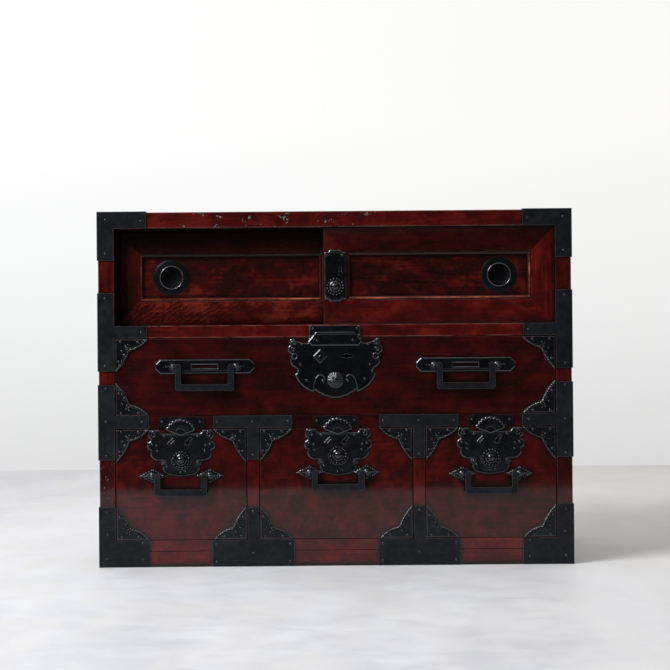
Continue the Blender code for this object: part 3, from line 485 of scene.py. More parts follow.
def relief(name, outline, height, holes=(), cell=0.8):
    """A plate in millimetres with a flat back on y = 0 and a modelled face towards -Y."""
    points, edges = [], []
    for loop in (outline, *holes):
        first = len(points)
        points += resampled(loop, cell)
        count = len(points) - first
        edges += [(first + i, first + (i + 1) % count) for i in range(count)]
        if loop is outline:
            hem_x, hem_z = np.array(hems(points)).T
    hemmed = clear(hem_x, hem_z, holes)

    xs, zs = np.array(outline).T
    columns = np.arange(xs.min(), xs.max(), cell)
    rows = np.arange(zs.min(), zs.max(), cell * 0.866)
    grid_x, grid_z = np.meshgrid(columns, rows)
    grid_x[1::2] += cell / 2
    x, z = grid_x.ravel(), grid_z.ravel()
    keep = inside(x, z, outline) & (distance(x, z, outline, True) > CHAMFER + cell * 0.5)
    keep &= clear(x, z, holes, cell * 0.6)
    points += [*zip(hem_x[hemmed], hem_z[hemmed]), *zip(x[keep], z[keep])]

    flat, _, faces = delaunay_2d_cdt([Vector(point) for point in points], edges, [], 1, 1e-5)[:3]
    x, z = np.array([tuple(point) for point in flat]).T
    centres = np.array([(x[face].mean(), z[face].mean()) for face in map(list, faces)])
    solid = clear(*centres.T, holes)
    rise = height(x, z, distance(x, z, outline, True))
    bm = bmesh.new()
    verts = [bm.verts.new((a, -h, b)) for a, h, b in zip(x, rise, z)]
    for face, kept in zip(faces, solid):
        if kept:
            bm.faces.new([verts[i] for i in face])
    bmesh.ops.delete(bm, geom=[vert for vert in bm.verts if not vert.link_faces], context="VERTS")
    border = [edge for edge in bm.edges if len(edge.link_faces) == 1]
    wall = bmesh.ops.extrude_edge_only(bm, edges=border)["geom"]
    for item in wall:
        if isinstance(item, bmesh.types.BMVert):
            item.co.y = 0
    back = [item for item in wall if isinstance(item, bmesh.types.BMEdge) and len(item.link_faces) == 1]
    bmesh.ops.triangle_fill(bm, edges=back, use_beauty=False)
    bmesh.ops.scale(bm, vec=(MM, MM, MM), verts=bm.verts)
    return mesh_of(bm, name, RELIEF_ANGLE)


def joined(name, meshes):
    """One mesh from several, which go."""
    bm = bmesh.new()
    for mesh in meshes:
        bm.from_mesh(mesh)
    discard(*meshes)
    return mesh_of(bm, name, RELIEF_ANGLE)


def placed(mesh, x, y, z, flip_x=False, flip_z=False):
    """A copy of a mesh at a place, mirrored where asked."""
    copy = mesh.copy()
    scale = Matrix.Diagonal((-1 if flip_x else 1, 1, -1 if flip_z else 1, 1))
    copy.transform(Matrix.Translation((x, y, z)) @ scale)
    if flip_x != flip_z:
        copy.flip_normals()
    return copy


def raised(x, z, ridges=(), beads=()):
    """The highest of some ridges (line, half width, rise) and beads (x, z, radius, rise)."""
    top = np.zeros(len(x))
    for line, reach, rise in ridges:
        top = np.maximum(top, rise * bump(distance(x, z, line), reach))
    for bead_x, bead_z, radius, rise in beads:
        top = np.maximum(top, rise * bump(np.hypot(x - bead_x, z - bead_z), radius))
    return top


# Finishes


class Nodes:
    """A node tree that is being put together."""

    def __init__(self, tree):
        self.tree = tree

    def feed(self, socket, value):
        if isinstance(value, bpy.types.NodeSocket):
            self.tree.links.new(value, socket)
        else:
            socket.default_value = value

    def add(self, kind, inputs=(), **settings):
        """A node with some inputs, by name or in their order."""
        made = self.tree.nodes.new("ShaderNode" + kind)
        for key, value in settings.items():
            setattr(made, key, value)
        for key, value in inputs.items() if isinstance(inputs, dict) else enumerate(inputs):
            self.feed(made.inputs[key], value)
        return made

    def axes(self, place):
        return self.add("SeparateXYZ", [place]).outputs

    def maths(self, operation, *values):
        return self.add("Math", values, operation=operation).outputs[0]

    def times(self, first, second):
        return self.maths("MULTIPLY", first, second)

    def blend(self, *shares):
        """The sum of values, each with its weight."""
        total = 0
        for value, weight in shares:
            total = self.maths("MULTIPLY_ADD", value, weight, total)
        return total

    def span(self, value, low, high, to_low=0, to_high=1):
        return self.add("MapRange", (value, low, high, to_low, to_high)).outputs[0]

    def ramp(self, factor, *stops):
        made = self.add("ValToRGB", {"Fac": factor})
        elements = made.color_ramp.elements
        while len(elements) < len(stops):
            elements.new(0.5)
        for element, (at, colour) in zip(elements, stops):
            element.position = at
            element.color = (*colour, 1)
        return made.outputs[0]

    def mix(self, factor, first, second, way="MIX"):
        made = self.add("Mix", data_type="RGBA", blend_type=way)
        for index, value in ((0, factor), (6, first), (7, second)):
            self.feed(made.inputs[index], (*value, 1) if isinstance(value, tuple) else value)
        return made.outputs[2]


class Finish(Nodes):
    """A procedural material that is being put together."""

    def __init__(self, name):
        self.material = bpy.data.materials.new(name)
        self.material.use_nodes = True
        super().__init__(self.material.node_tree)
        self.shader = self.tree.nodes["Principled BSDF"]
        self.place = self.add("TexCoord").outputs["Object"]

    def set(self, **inputs):
        for key, value in inputs.items():
            self.feed(self.shader.inputs[key.replace("_", " ")], value)

    def noise(self, scale, detail=3, stretch=(1, 1, 1), shift=0, warp=0):
        """Noise with so many features in a metre, before its axes are stretched."""
        place = self.add("Mapping", {"Vector": self.place, "Scale": stretch, "Location": (shift,) * 3})
        inputs = {"Vector": place.outputs[0], "Scale": scale, "Detail": detail, "Distortion": warp}
        return self.add("TexNoise", inputs).outputs[0]

    def rings(self, figure, density):
        """Year rings that follow the levels of a figure."""
        return self.span(self.maths("SINE", self.times(figure, density)), -1, 1)

    def edges(self, radius, low=0.995, high=0.86):
        """1 along the sharp edges of the piece and 0 on its flat parts."""
        soft = self.add("Bevel", {"Radius": radius}, samples=6).outputs[0]
        flat = self.add("NewGeometry").outputs["Normal"]
        turn = self.add("VectorMath", (soft, flat), operation="DOT_PRODUCT").outputs["Value"]
        return self.span(turn, low, high)

    def relief(self, height, depth, strength=1):
        inputs = {"Height": height, "Distance": depth, "Strength": strength}
        return self.add("Bump", inputs).outputs[0]


def along(axis, with_grain, across):
    return tuple(with_grain if name == axis else across for name in "XYZ")


def lacquer(
    name, axis, shift=0, shades=LACQUER_SHADES, depth=1, wear=0.6, hollow=0.013, flame=0, scuffed=None,
    rim=0.002, grainy=0.18, shade_level=0.62, streak=0.7,
):
    """Red brown lacquer over wood whose grain runs along an axis.

    Depth scales the shades. Edges as wide as rim are rubbed by wear. Painted shade, partly grime, darkens
    the lacquer within hollow of corners, recesses and irons, thicker as shade_level rises. Flame and grainy
    are the shares of curly figure and fibre, streak stretches the patches, and scuffed is a stretch of an
    axis with chips.
    """
    f = Finish("lacquer_" + name)
    figure = f.noise(1, 1.5, along(axis, 2.2, 8), shift, 0.6)
    rings = f.rings(figure, 170)
    rings = f.times(rings, f.span(f.noise(2.4, 1, shift=shift + 1), 0.4, 0.6))
    fibre = f.noise(1, 3, along(axis, 9, 230), shift)
    blotch = f.noise(30, 6, along(axis, streak, 1), shift, 0.4)
    cloud = f.noise(5, 2, shift=shift + 3)
    grit = f.noise(120, 3, shift=shift + 5)
    shares = [(blotch, 0.46), (rings, 0.04), (fibre, grainy), (grit, 0.16), (cloud, 0.2)]
    if flame:
        slant = f.add("Mapping", {"Vector": f.place, "Scale": (0.6, 0, -1)}).outputs[0]
        inputs = {"Vector": slant, "Scale": 66, "Distortion": 9, "Detail": 3, "Detail Scale": 1.8}
        curl = f.span(f.add("TexWave", inputs, bands_direction="DIAGONAL").outputs["Fac"], 0.7, 1)
        shares.append((f.times(curl, f.span(f.axes(f.place)["X"], -0.28, -0.12, 1, 0.3)), flame))
    tone = f.blend(*shares)
    dark, mid, light = (tuple(part * depth for part in shade) for shade in shades)
    middle = 0.415 + grainy * 0.5 + flame * 0.1
    colour = f.ramp(tone, (middle - 0.075, dark), (middle, mid), (middle + 0.09, light))

    # Painted shade, partly grime: ambient occlusion darkens the lacquer in corners, in recesses and beside
    # the irons
    crevice = f.add("AmbientOcclusion", {"Distance": hollow}, samples=8).outputs["AO"]
    colour = f.mix(f.span(crevice, 1, shade_level, 0, 0.85), colour, GRIME_AND_SHADE)
    edge = f.edges(rim, 0.998, 0.9)
    rubbed = f.times(edge, f.span(f.noise(32, 4, shift=shift), 0.34, 0.58))
    colour = f.mix(f.times(rubbed, wear), colour, WORN_LACQUER)
    chips = f.times(edge, f.span(f.noise(150, 3, shift=shift + 7), 0.64, 0.7))
    if scuffed:
        chips = f.maths("MAXIMUM", chips, scuffs(f, *scuffed))
    bare = f.ramp(f.noise(330, 2, shift=shift), (0.52, BURNT_CHIP), (0.62, BARE_CHIP))
    colour = f.mix(f.times(chips, min(1, wear + 0.1)), colour, bare)
    handled = f.noise(70, 4, shift=shift)
    f.set(Base_Color=colour, Roughness=f.span(handled, 0.3, 0.7, 0.34, 0.52))
    texture = f.blend((fibre, 0.5), (rings, 0.2), (handled, 0.4), (chips, -1.2))
    f.set(Normal=f.relief(texture, 0.0003, 0.5))
    f.set(Coat_Normal=f.relief(f.noise(7, 1, shift=shift), 0.00035))
    f.set(Coat_Weight=0.75, Coat_Roughness=0.06, Specular_IOR_Level=0.06)
    return f.material


def scuffs(f, across, low, high, fineness, stretch):
    """Chips near the front, on the stretch between two places on an axis."""
    axes = f.axes(f.place)
    edge = (high - low) / 5
    within = f.times(f.span(axes[across], low, low + edge), f.span(axes[across], high, high - edge))
    within = f.times(within, f.span(axes["Y"], FRONT + 0.03, FRONT + 0.01))
    return f.times(within, f.span(f.noise(fineness, 3, stretch, 11, 0.8), 0.62, 0.65))


def bare_wood(name, axis):
    """Plain softwood, darkened with age."""
    f = Finish(name)
    figure = f.noise(1, 2, along(axis, 1.2, 14), 2, 0.3)
    rings = f.rings(figure, 210)
    fibre = f.noise(1, 4, along(axis, 14, 420))
    stain = f.noise(6, 3)
    tone = f.blend((rings, 0.18), (fibre, 0.44), (stain, 0.38))
    colour = f.ramp(tone, (0.3, (0.15, 0.085, 0.045)), (0.5, (0.26, 0.16, 0.09)), (0.7, (0.36, 0.24, 0.145)))
    worn = f.times(f.edges(0.002), f.noise(60))
    colour = f.mix(f.times(worn, 0.6), colour, (0.12, 0.065, 0.035))
    f.set(Base_Color=colour, Roughness=f.span(fibre, 0.3, 0.7, 0.55, 0.78))
    f.set(Normal=f.relief(f.blend((fibre, 0.7), (rings, 0.3)), 0.0004, 0.6))
    return f.material


def iron(name, rough, wear, gloss=0.3, shades=IRON_SHADES, ridged=None, punched=0, edge=0.0012):
    """Forged iron under old black lacquer, rubbed on its edges or ridges and punched with fine dots.

    Where ridged, its hollows are darkened as painted shade.
    """
    f = Finish("black_iron_" + name)
    mottle = f.blend((f.noise(14, 3, shift=8), 0.4), (f.noise(95, 5), 0.6))
    colour = f.ramp(mottle, (0.41, shades[0]), (0.6, shades[1]))
    rubbed = f.span(f.noise(70, 3, shift=2), 0.25, 0.55)
    if ridged:
        bent = f.add("NewGeometry").outputs["Pointiness"]
        # Painted shade: darker in the concave spots of the relief
        colour = f.mix(f.span(bent, 0.485, 0.4, 0, 0.8), colour, IRON_DEEP)
        high = f.times(f.span(bent, *ridged), rubbed)
        gloss = f.span(bent, 0.46, 0.54, gloss * 0.05, gloss)
    else:
        high = f.times(f.edges(edge), rubbed)
    high = f.times(high, wear)
    colour = f.mix(high, colour, IRON_BRIGHT if ridged else IRON_WORN)
    rust = f.span(f.noise(75, 4, shift=4), 0.68, 0.76)
    colour = f.mix(f.times(rust, 0.4), colour, IRON_RUST)
    f.set(Base_Color=colour, Roughness=f.span(f.noise(60, 4, shift=6), 0.3, 0.7, *rough))
    dots = f.add("TexVoronoi", {"Vector": f.place, "Scale": 520}).outputs["Distance"]
    grain = f.blend((f.noise(190, 2), 0.7), (f.noise(1100, 2), 0.3), (dots, -punched))
    f.set(Normal=f.relief(grain, 0.0004, 0.25 + punched * 0.3))
    f.set(Metallic=high, Specular_IOR_Level=gloss, Specular_Tint=IRON_SHEEN)
    return f.material


def floor_finish():
    """Pale screeded floor with faint clouds, and painted light and shade.

    Painted darker towards the camera and to the far left, lighter just before and behind the chest, and a
    darker, warmer painted shadow to the right.
    """
    f = Finish("stage_floor")
    clouds = f.noise(1, 9, (5, 2.2, 1), 1, 0.4)
    drag = f.noise(1, 6, (13, 16, 1), warp=0.6)
    axes = f.axes(f.place)
    # Painted shade and light: darker towards the camera, lighter just before the chest and behind it
    back = f.span(axes["Y"], FRONT - 0.95, FRONT, -0.24, 0.19)
    # Painted shade: darker towards the far left, against the lamp's stronger light there
    side = f.span(axes["X"], -0.2, -0.9, 0, -0.28)
    tone = f.blend((clouds, 0.6), (drag, 0.4), (back, 1), (side, 1))
    low, mid, high = FLOOR_SHADES
    colour = f.ramp(tone, (0.25, low), (0.5, mid), (0.75, high))
    shadow_tint = f.ramp(clouds, (0.35, FLOOR_SHADOW_TINT[0]), (0.65, FLOOR_SHADOW_TINT[1]))
    # Painted shadow: darker and warmer to the right of the chest
    colour = f.mix(f.span(axes["X"], 0.25, 0.85, 0, 0.7), colour, shadow_tint)
    tint = f.noise(1, 8, (9, 3.6, 1), 9, 0.4)
    colour = f.mix(f.span(tint, 0.46, 0.62, 0, 0.5), colour, FLOOR_CREAM)
    f.set(Base_Color=colour, Roughness=f.span(drag, 0.3, 0.7, 0.45, 0.6))
    f.set(Normal=f.relief(f.noise(40, 4), 0.0006, 0.3), Specular_IOR_Level=0.14)
    return f.material


TOP = lacquer("top", "X", 2, depth=1.02, wear=0.9, scuffed=TOP_CHIPS, rim=0.003)
RAIL = lacquer("rail", "X", 24, depth=1.3, wear=1, rim=0.0035)
BASE = lacquer("base", "X", 5, depth=1.2, wear=0.1, hollow=0.011, shade_level=0.8)
UPRIGHT = lacquer("z", "Z", 4, depth=0.95, wear=0.08)
LEFT_SIDE = lacquer("left", "Z", 7, depth=0.85, wear=0.4, scuffed=LEFT_CHIPS)
# Painted shade: the right side is a darker copy of the side lacquer, for the light falling off to the right
RIGHT_SIDE_IN_SHADE = lacquer("right", "Z", 19, depth=0.57, wear=0.4)
DIM = lacquer("dim", "X", 6, depth=0.44, wear=0.12)
# Door bars in lit and shaded copies of one lacquer, as painted light and shade: right and bottom bars lit,
# left and top bars shaded
LIT_RIGHT_BAR = lacquer("lit_right_bar", "Z", 31, depth=1.45, wear=0.3, hollow=0.05, grainy=0.3)
SHADED_LINTEL = lacquer("shaded_lintel", "X", 33, depth=0.4, wear=0.25, hollow=0.05)
SHADE = lacquer("shade", "X", 33, depth=0.24, wear=0.1, hollow=0.05)
SHADED_LEFT_BAR = lacquer("shaded_left_bar", "Z", 31, depth=0.75, wear=0.3, hollow=0.05)
LIT_SILL = lacquer("lit_sill", "X", 21, depth=1.1, wear=0.4)
MOULD_WEAR_AND_HIGHLIGHT = lacquer("mould_wear_and_highlight", "X", 37, MOULD_SHADES, wear=0.3, hollow=0.004)
EMBER = lacquer("ember", "X", 27, EMBER_SHADES, wear=0.4, flame=0.1)
# Painted light: the left panel is a lighter copy than the right, against the shade of its deeper recess
LEFT_PANEL = lacquer("left_panel", "X", 9, PANEL_SHADES, 1.8)
RIGHT_PANEL = lacquer("right_panel", "X", 41, PANEL_SHADES, 1.25)
WIDE = lacquer("wide", "X", 17, depth=0.5, wear=0.25, shade_level=0.76)
DRAWER = lacquer("drawer", "X", 13, depth=0.75, wear=0.1, shade_level=0.76, streak=1.3)
BARE_X = bare_wood("bare_x", "X")
BARE_Y = bare_wood("bare_y", "Y")
IRON = iron("sheet", (0.28, 0.42), 0.45, 0.2, SHEET_SHADES, edge=0.0016)
CAST = iron("relief", (0.14, 0.24), 0.2, 0.8, ridged=RIDGE_LEVELS)
PUNCHED = iron("punched", (0.16, 0.26), 0.22, 0.65, ridged=RIDGE_LEVELS, punched=0.8)
BOSS = iron("boss", (0.1, 0.16), 0.25, 0.9, ridged=(0.58, 0.7))
NAIL = iron("nail", (0.16, 0.26), 0.1, 0.7, ridged=RIDGE_LEVELS)
DULL = iron("dull", (0.34, 0.46), 0.1, 0.1)
BAR = iron("bail", (0.32, 0.44), 0.3, shades=SHEET_SHADES, edge=0.0025)
CUP = iron("cup", (0.3, 0.4), 0.1, 0.12)
LIP = iron("lip", (0.16, 0.24), 0.3, 0.9, LIP_SHADES)
DISH = iron("dish", (0.6, 0.75), 0, 0.12, (IRON_DEEP, IRON_DEEP))


# CAD solids that stay


def dress(name, wood, bevel=0):
    """Gives a CAD node its finish, with iron where its slot says so, and softens its edges."""
    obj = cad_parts[name]
    for place in obj.material_slots:
        place.material = IRON if "iron" in place.material.name else wood
    if bevel:
        soften = obj.modifiers.new("softened_edges", "BEVEL")
        soften.width = bevel
        soften.segments = 2
        soften.limit_method = "ANGLE"
        soften.angle_limit = radians(40)


dress("top_panel", TOP)
dress("left_side_panel", LEFT_SIDE)
dress("right_side_panel", RIGHT_SIDE_IN_SHADE)
dress("back_panel", BARE_X)
dress("bottom_board", BASE, SOFT)
dress("base_rail", BASE, SOFT)
dress("rear_base_rail", BARE_X)
dress("upper_shelf", RAIL, FINE_SOFT)
dress("lower_shelf", DIM, FINE_SOFT)
dress("left_partition", UPRIGHT)
dress("right_partition", UPRIGHT)
for corner in ("top", "upper", "lower", "base"):
    for hand in HANDS:
        dress(f"{corner}_{hand}_corner_iron", IRON, SOFT)
for hand in HANDS:
    dress(f"{hand}_tee_iron", IRON, SOFT)
    dress(f"{hand}_base_tee_iron", IRON, SOFT)
    dress(f"{hand}_door_panel", LEFT_PANEL if hand == "left" else RIGHT_PANEL)
    dress(f"wide_{hand}_bail", BAR)
for name in DRAWERS:
    dress(f"{name}_front", WIDE if name == "wide_drawer" else DRAWER)
    dress(f"{name}_tray", BARE_Y)
    dress(f"{name}_bottom", BARE_Y)
for name in SMALL_DRAWERS:
    dress(f"{name}_bail", BAR)


# Nails


def nails(name, body, places):
    bm = bmesh.new()
    for place in places:
        dome(bm, place, NAIL_R, NAIL_RISE)
    piece(name, mesh_of(bm, name), NAIL, body)


def carcass_nails():
    face = FRONT - GAP - IRON_T
    places = []
    for x, z in SIDE_NAILS:
        places += spots(0, face, 0, ((-x, z), (x, z)))
    for node in ("left_tee_iron", "left_base_tee_iron"):
        low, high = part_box(node)
        centre = middle(node)[0]
        arm = high.x - centre - NAIL_INSET
        based = "base" in node
        foot, head = (low.z, BASE_H) if based else LOWER_RAIL
        lift = (foot + head) / 2
        rows = (foot + BASE_NAIL_INSET, head - BASE_NAIL_INSET) if based else (lift,)
        offsets = [(0, lift), (0, high.z - NAIL_INSET if based else low.z + NAIL_INSET)]
        offsets += [(side, z) for side in (-arm, arm) for z in rows]
        for offset, z in offsets:
            places += [(centre + offset, face, z), (-centre - offset, face, z)]
    nails("carcass_nails", "carcass", places)


# Corner plates of the drawers


def corner_plate():
    """A scalloped corner iron, with its corner at the origin and its legs along +x and +z."""
    outline = outline_of(CORNER_OUTLINE)
    scallops = [point for point in outline if min(point) > 0.5]
    scallops = [(CORNER_LEG, 0.3)] + scallops + [(0.3, CORNER_LEG)]
    lumps = [(x * 0.96, z * 0.96, 2, 1.2) for x, z in spaced(scallops, 4.2)]
    curls = [(spiral(*curl), 0.9, 0.9) for curl in CORNER_CURLS]

    def height(x, z, d):
        edge = distance(x, z, scallops)
        rim = 1.2 * np.clip(edge / 1.6, 0, 1) * np.clip((3.2 - edge) / 1.2, 0, 1)
        body = sheet(d, CORNER_T, 0.7) + rim + 0.4 * bump(edge - 4.4, 0.9)
        return body + raised(x, z, curls, [*CORNER_BEADS, *lumps]) + hammered(x, z)

    return relief("corner_plate", outline, height)


def corner_plates():
    plate = corner_plate()
    for name in DRAWERS:
        low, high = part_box(f"{name}_front")
        meshes, heads = [], []
        for x, way_x in ((low.x + CORNER_INSET, 1), (high.x - CORNER_INSET, -1)):
            for z, way_z in ((low.z + CORNER_INSET, 1), (high.z - CORNER_INSET, -1)):
                meshes.append(placed(plate, x, FRONT, z, way_x < 0, way_z < 0))
                turned = [(way_x * a, way_z * b) for a, b in CORNER_NAILS]
                heads += spots(x, FRONT - NAIL_SEAT, z, turned)
        piece(f"{name}_corner_plates", joined("plates", meshes), PUNCHED, name)
        nails(f"{name}_corner_nails", name, heads)
    discard(plate)


# Locks


def ball_knob(bead):
    """A ball in a ring of beads, with its seat on y = 0."""
    bm = bmesh.new()
    foot = BALL_R * 1.16
    profile = [(0, 0), (foot, 0), (foot, 0.0032), (BALL_R * 1.04, 0.0038)]
    profile += [*arc(BALL_R, BALL_R, BALL_SINK, range(-12, 90, 12)), (0, BALL_SINK + BALL_R)]
    lathe(bm, profile, Vector((0, 0, 0)), 40)
    for i in range(KNOB_BEADS):
        angle = 2 * pi * (i + 0.5) / KNOB_BEADS
        place = (BEAD_RING_R * cos(angle), -0.002, BEAD_RING_R * sin(angle))
        dome(bm, place, bead, bead * 1.2)
    return mesh_of(bm, "knob")


def case(x, z, spot, face=FRONT):
    """A lock's dark case behind its keyhole, with the second finish of its piece.

    Its dark, dull finish stands in as painted shade inside the keyhole.
    """
    x, z = x + spot[0] * MM, z + spot[1] * MM
    half_w, half_h = CASE_HALF
    near, far = CASE_DEPTH
    bm = bmesh.new()
    rounded_box(bm, (x - half_w, face + near, z - half_h), (x + half_w, face + far, z + half_h), 0.001)
    for side in bm.faces:
        side.material_index = 1
    return mesh_of(bm, "case")


def lock_piece(node, body, meshes):
    name = f"{node}_relief"
    piece(name, joined(name, meshes), (CAST, DISH), body, [node])


def keyhole(x, z, lean=0):
    """A round keyhole with a slot above it, which may lean."""
    half_w, top = KEYHOLE_SLOT
    points = [*arc(KEYHOLE_R, KEYHOLE_R, 0, range(120, 421, 20)), (half_w, top), (-half_w, top)]
    turn = radians(lean)
    return [(x + a * cos(turn) - b * sin(turn), z + a * sin(turn) + b * cos(turn)) for a, b in points]


def rosette():
    """A fluted boss with a bead in its middle."""

    def height(x, z, d):
        reach, turn = np.hypot(x, z), np.arctan2(z, x)
        petals = np.abs(np.cos(ROSETTE_PETALS / 2 * turn))
        flutes = np.clip(d / 1.5, 0, 1) * np.clip((reach - 3) / 4, 0, 1)
        cone = 8.4 * np.clip(1 - reach / ROSETTE_R, 0, 0.78)
        return 0.6 + cone + 0.75 * petals * flutes + 1.8 * bump(reach, 3.4)

    return relief("rosette", circle(0, 0, ROSETTE_R, 96), height, cell=0.45)


def wide_lock():
    ring_x, ring_z = WIDE_RING
    holes = [circle(side * ring_x, ring_z, WIDE_RING_R) for side in (-1, 1)]
    holes.append([*WIDE_SLOT, *((x, 2 * ring_z - z) for x, z in reversed(WIDE_SLOT))])
    collar = circle(ring_x, ring_z, WIDE_COLLAR_R)
    ridges = [(WIDE_SCROLL, 1.2, 1.4), ([*collar, collar[0]], 1.1, 1.3)]
    ridges += [(spiral(*curl), 1, 1) for curl in WIDE_CURLS]

    def height(x, z, d):
        body = forged(x, z, d) + raised(np.abs(x), z, ridges, WIDE_LOCK_EYES)
        body += raised(x, z, [(WIDE_TICK, 0.9, 1)])
        diamond = np.abs(x - WIDE_DIAMOND[0]) + np.abs(z - WIDE_DIAMOND[1])
        return body + 1.5 * np.clip((14.6 - diamond) / 3.4, 0, 1) - 0.3 * bump(diamond - 9.5, 1)

    def tongue_height(x, z, d):
        return forged(x, z, d, TONGUE_T) + 0.6 * bump(z - WIDE_TONGUE_TOP + 4.2, 0.9)

    plate = relief("wide_lock_plate", mirrored(WIDE_LOCK_HALF), height, holes, 0.7)
    side, low = WIDE_TONGUE_SIDE[0][:2]
    wave = [(side * i / WIDE_TONGUE_LOBES, low, 1.5) for i in range(WIDE_TONGUE_LOBES)]
    tongue = relief("wide_lock_tongue", mirrored((*wave, *WIDE_TONGUE_SIDE)), tongue_height, cell=0.7)
    node, body = "wide_drawer_lock", "wide_drawer"
    face, foot = FRONT - GAP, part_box(node)[1].z - WIDE_TONGUE_TOP * MM
    boss = rosette()
    boss.transform(Matrix.Translation((0, face - IRON_T, foot + ROSETTE_LIFT * MM)))
    piece("wide_drawer_rosette", boss, BOSS, body)
    meshes = [placed(plate, 0, face, foot), placed(tongue, 0, FRONT - TONGUE_BACK, foot)]
    lock_piece(node, body, [*meshes, case(0, foot, WIDE_CASE)])
    heads = spots(0, face - PLATE_T * MM, foot, WIDE_LOCK_NAILS)
    heads += spots(0, FRONT - TONGUE_BACK - NAIL_SEAT, foot, WIDE_TONGUE_NAILS)
    nails(f"{node}_nails", body, heads)
    discard(plate, tongue)


def shell():
    """The shell-shaped tongue of a small lock, with a row of beads."""
    points = [(0, SHELL_Z - SHELL_SCALLOP)]
    count = SHELL_LOBES * 6
    for i in range(count + 1):
        angle = radians(90 - SHELL_SPREAD + 2 * SHELL_SPREAD * i / count)
        reach = SHELL_R + SHELL_SCALLOP * abs(sin(pi * SHELL_LOBES * i / count))
        points.append((reach * cos(angle), SHELL_Z + reach * sin(angle)))
    row_r, row_spread = SHELL_R * 0.965, SHELL_SPREAD - 5
    row = [90 + row_spread * (2 * i / (SHELL_BEADS - 1) - 1) for i in range(SHELL_BEADS)]
    beads = [(x, z, 2, 2) for x, z in arc(row_r, row_r, SHELL_Z, row)]

    def height(x, z, d):
        reach = np.hypot(x, z - SHELL_Z)
        turn = np.degrees(np.arctan2(z - SHELL_Z, x)) - 90 + SHELL_SPREAD
        lobe = np.abs(np.sin(pi * SHELL_LOBES * turn / (2 * SHELL_SPREAD)))
        body = rolled_edge(d, 1.7, 0.2) + raised(x, z, (), beads)
        body += 0.25 * np.sqrt(lobe) * bump(reach - SHELL_R * 0.68, SHELL_R * 0.2)
        return body + 0.6 * bump(reach - SHELL_R * 0.42, 1.3)

    return relief("shell", points, height, cell=0.7)


def small_lock_plate(knob_lift):
    hole = keyhole(*SMALL_KEYHOLE)
    curl = spiral(*SMALL_LOCK_CURL)

    def height(x, z, d):
        body = forged(x, z, d) + raised(np.abs(x), z, [(curl, 0.9, 0.8)], SMALL_LOCK_EYES)
        body += raised(x, z, SMALL_LOCK_BARS, SMALL_LOCK_BEADS)
        body += 0.3 * bump(distance(x, z, hole, True) - 1.3, 1.2)
        return body + 0.9 * bump(np.hypot(x, z - knob_lift) - KNOB_RING_R, 1) * (z < knob_lift)

    return relief("small_lock_plate", mirrored(SMALL_LOCK_HALF), height, [hole], 0.7)


def curl_mesh():
    line = spiral(0, 0, 4.4, 1.2, 60, 420)

    def height(x, z, d):
        return rolled_edge(d, 2.4, 0.3) + raised(x, z, [(line, 1, 1)], [(0, 0, 2.2, 2.1)])

    return relief("curl", circle(0, 0, 6.2, 32), height, cell=0.6)


def small_locks():
    fan, curl, knob = shell(), curl_mesh(), ball_knob(BEAD_R)
    face = FRONT - GAP
    curl_x, curl_z = SMALL_LOCK_ROLLS
    for name, lift in zip(SMALL_DRAWERS, KNOB_LIFTS):
        node = f"{name}_lock"
        x, foot = middle(node)[0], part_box(node)[0].z
        plate = small_lock_plate(lift)
        meshes = [placed(plate, x, face, foot), placed(fan, x, FRONT - TONGUE_BACK, foot)]
        for side in (-1, 1):
            meshes.append(placed(curl, x + side * curl_x * MM, face, foot + curl_z * MM, side < 0))
        ball = placed(knob, x, face - KNOB_SEAT, foot + lift * MM)
        piece(f"{name}_knob", ball, BOSS, name)
        lock_piece(node, name, [*meshes, case(x, foot, SMALL_CASE)])
        nails(f"{node}_nails", name, spots(x, face - PLATE_T * MM, foot, SMALL_LOCK_NAILS))
        discard(plate)
    discard(fan, curl, knob)


def door_lock():
    node, body = "right_door_lock", "right_door"
    x, foot = middle(node)[0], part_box(node)[0].z
    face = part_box("right_door_frame")[0].y
    seat = face - GAP

    def height(x, z, d):
        return forged(x, z, d) + 0.5 * bump(d - 4.2, 0.8)

    plate = relief("door_lock_plate", mirrored(DOOR_LOCK_HALF), height, [keyhole(*DOOR_KEYHOLE)], 0.8)
    knob = ball_knob(DOOR_BEAD_R)
    meshes = [placed(plate, x, seat, foot), placed(knob, x, seat - KNOB_SEAT, foot + DOOR_KNOB_LIFT * MM)]
    lock_piece(node, body, [*meshes, case(x, foot, DOOR_CASE, face - DOOR_CASE_OUT)])
    nails(f"{node}_nails", body, spots(x, seat - KNOB_SEAT, foot, DOOR_LOCK_NAILS))
    discard(plate, knob)


# Keepers on the rails


def keepers():
    def height(x, z, d):
        rim = np.where(np.abs(x) > 30, 0.45, 0.05)
        return sheet(d, KEEPER_T, 0.6) + rim * bump(d - 1.3, 1.3)

    def wide_height(x, z, d):
        ends = np.clip((np.abs(x) - 43) / 1.5, 0, 1)
        return sheet(d, KEEPER_T, 0.6) + 1.1 * ends * bump(d - 1.8, 1.7)

    small, seat = outline_of(KEEPER_OUTLINE), FRONT - IRON_T
    meshes, heads = [], []
    for name in SMALL_DRAWERS:
        x = middle(f"{name}_front")[0]
        meshes.append(placed(relief("keeper", small, height), x, FRONT, LOWER_RAIL[0] + MM))
        heads += spots(x, seat, LOWER_RAIL[0], KEEPER_NAILS)
    piece("small_keepers", joined("keepers", meshes), DULL, "carcass")
    wide = relief("keeper", outline_of(WIDE_KEEPER_OUTLINE), wide_height)
    piece("wide_keeper", placed(wide, 0, FRONT, UPPER_RAIL[0] + MM), CAST, "carcass")
    heads += spots(0, seat, UPPER_RAIL[0], WIDE_KEEPER_NAILS)
    nails("keeper_nails", "carcass", heads)


# Handles


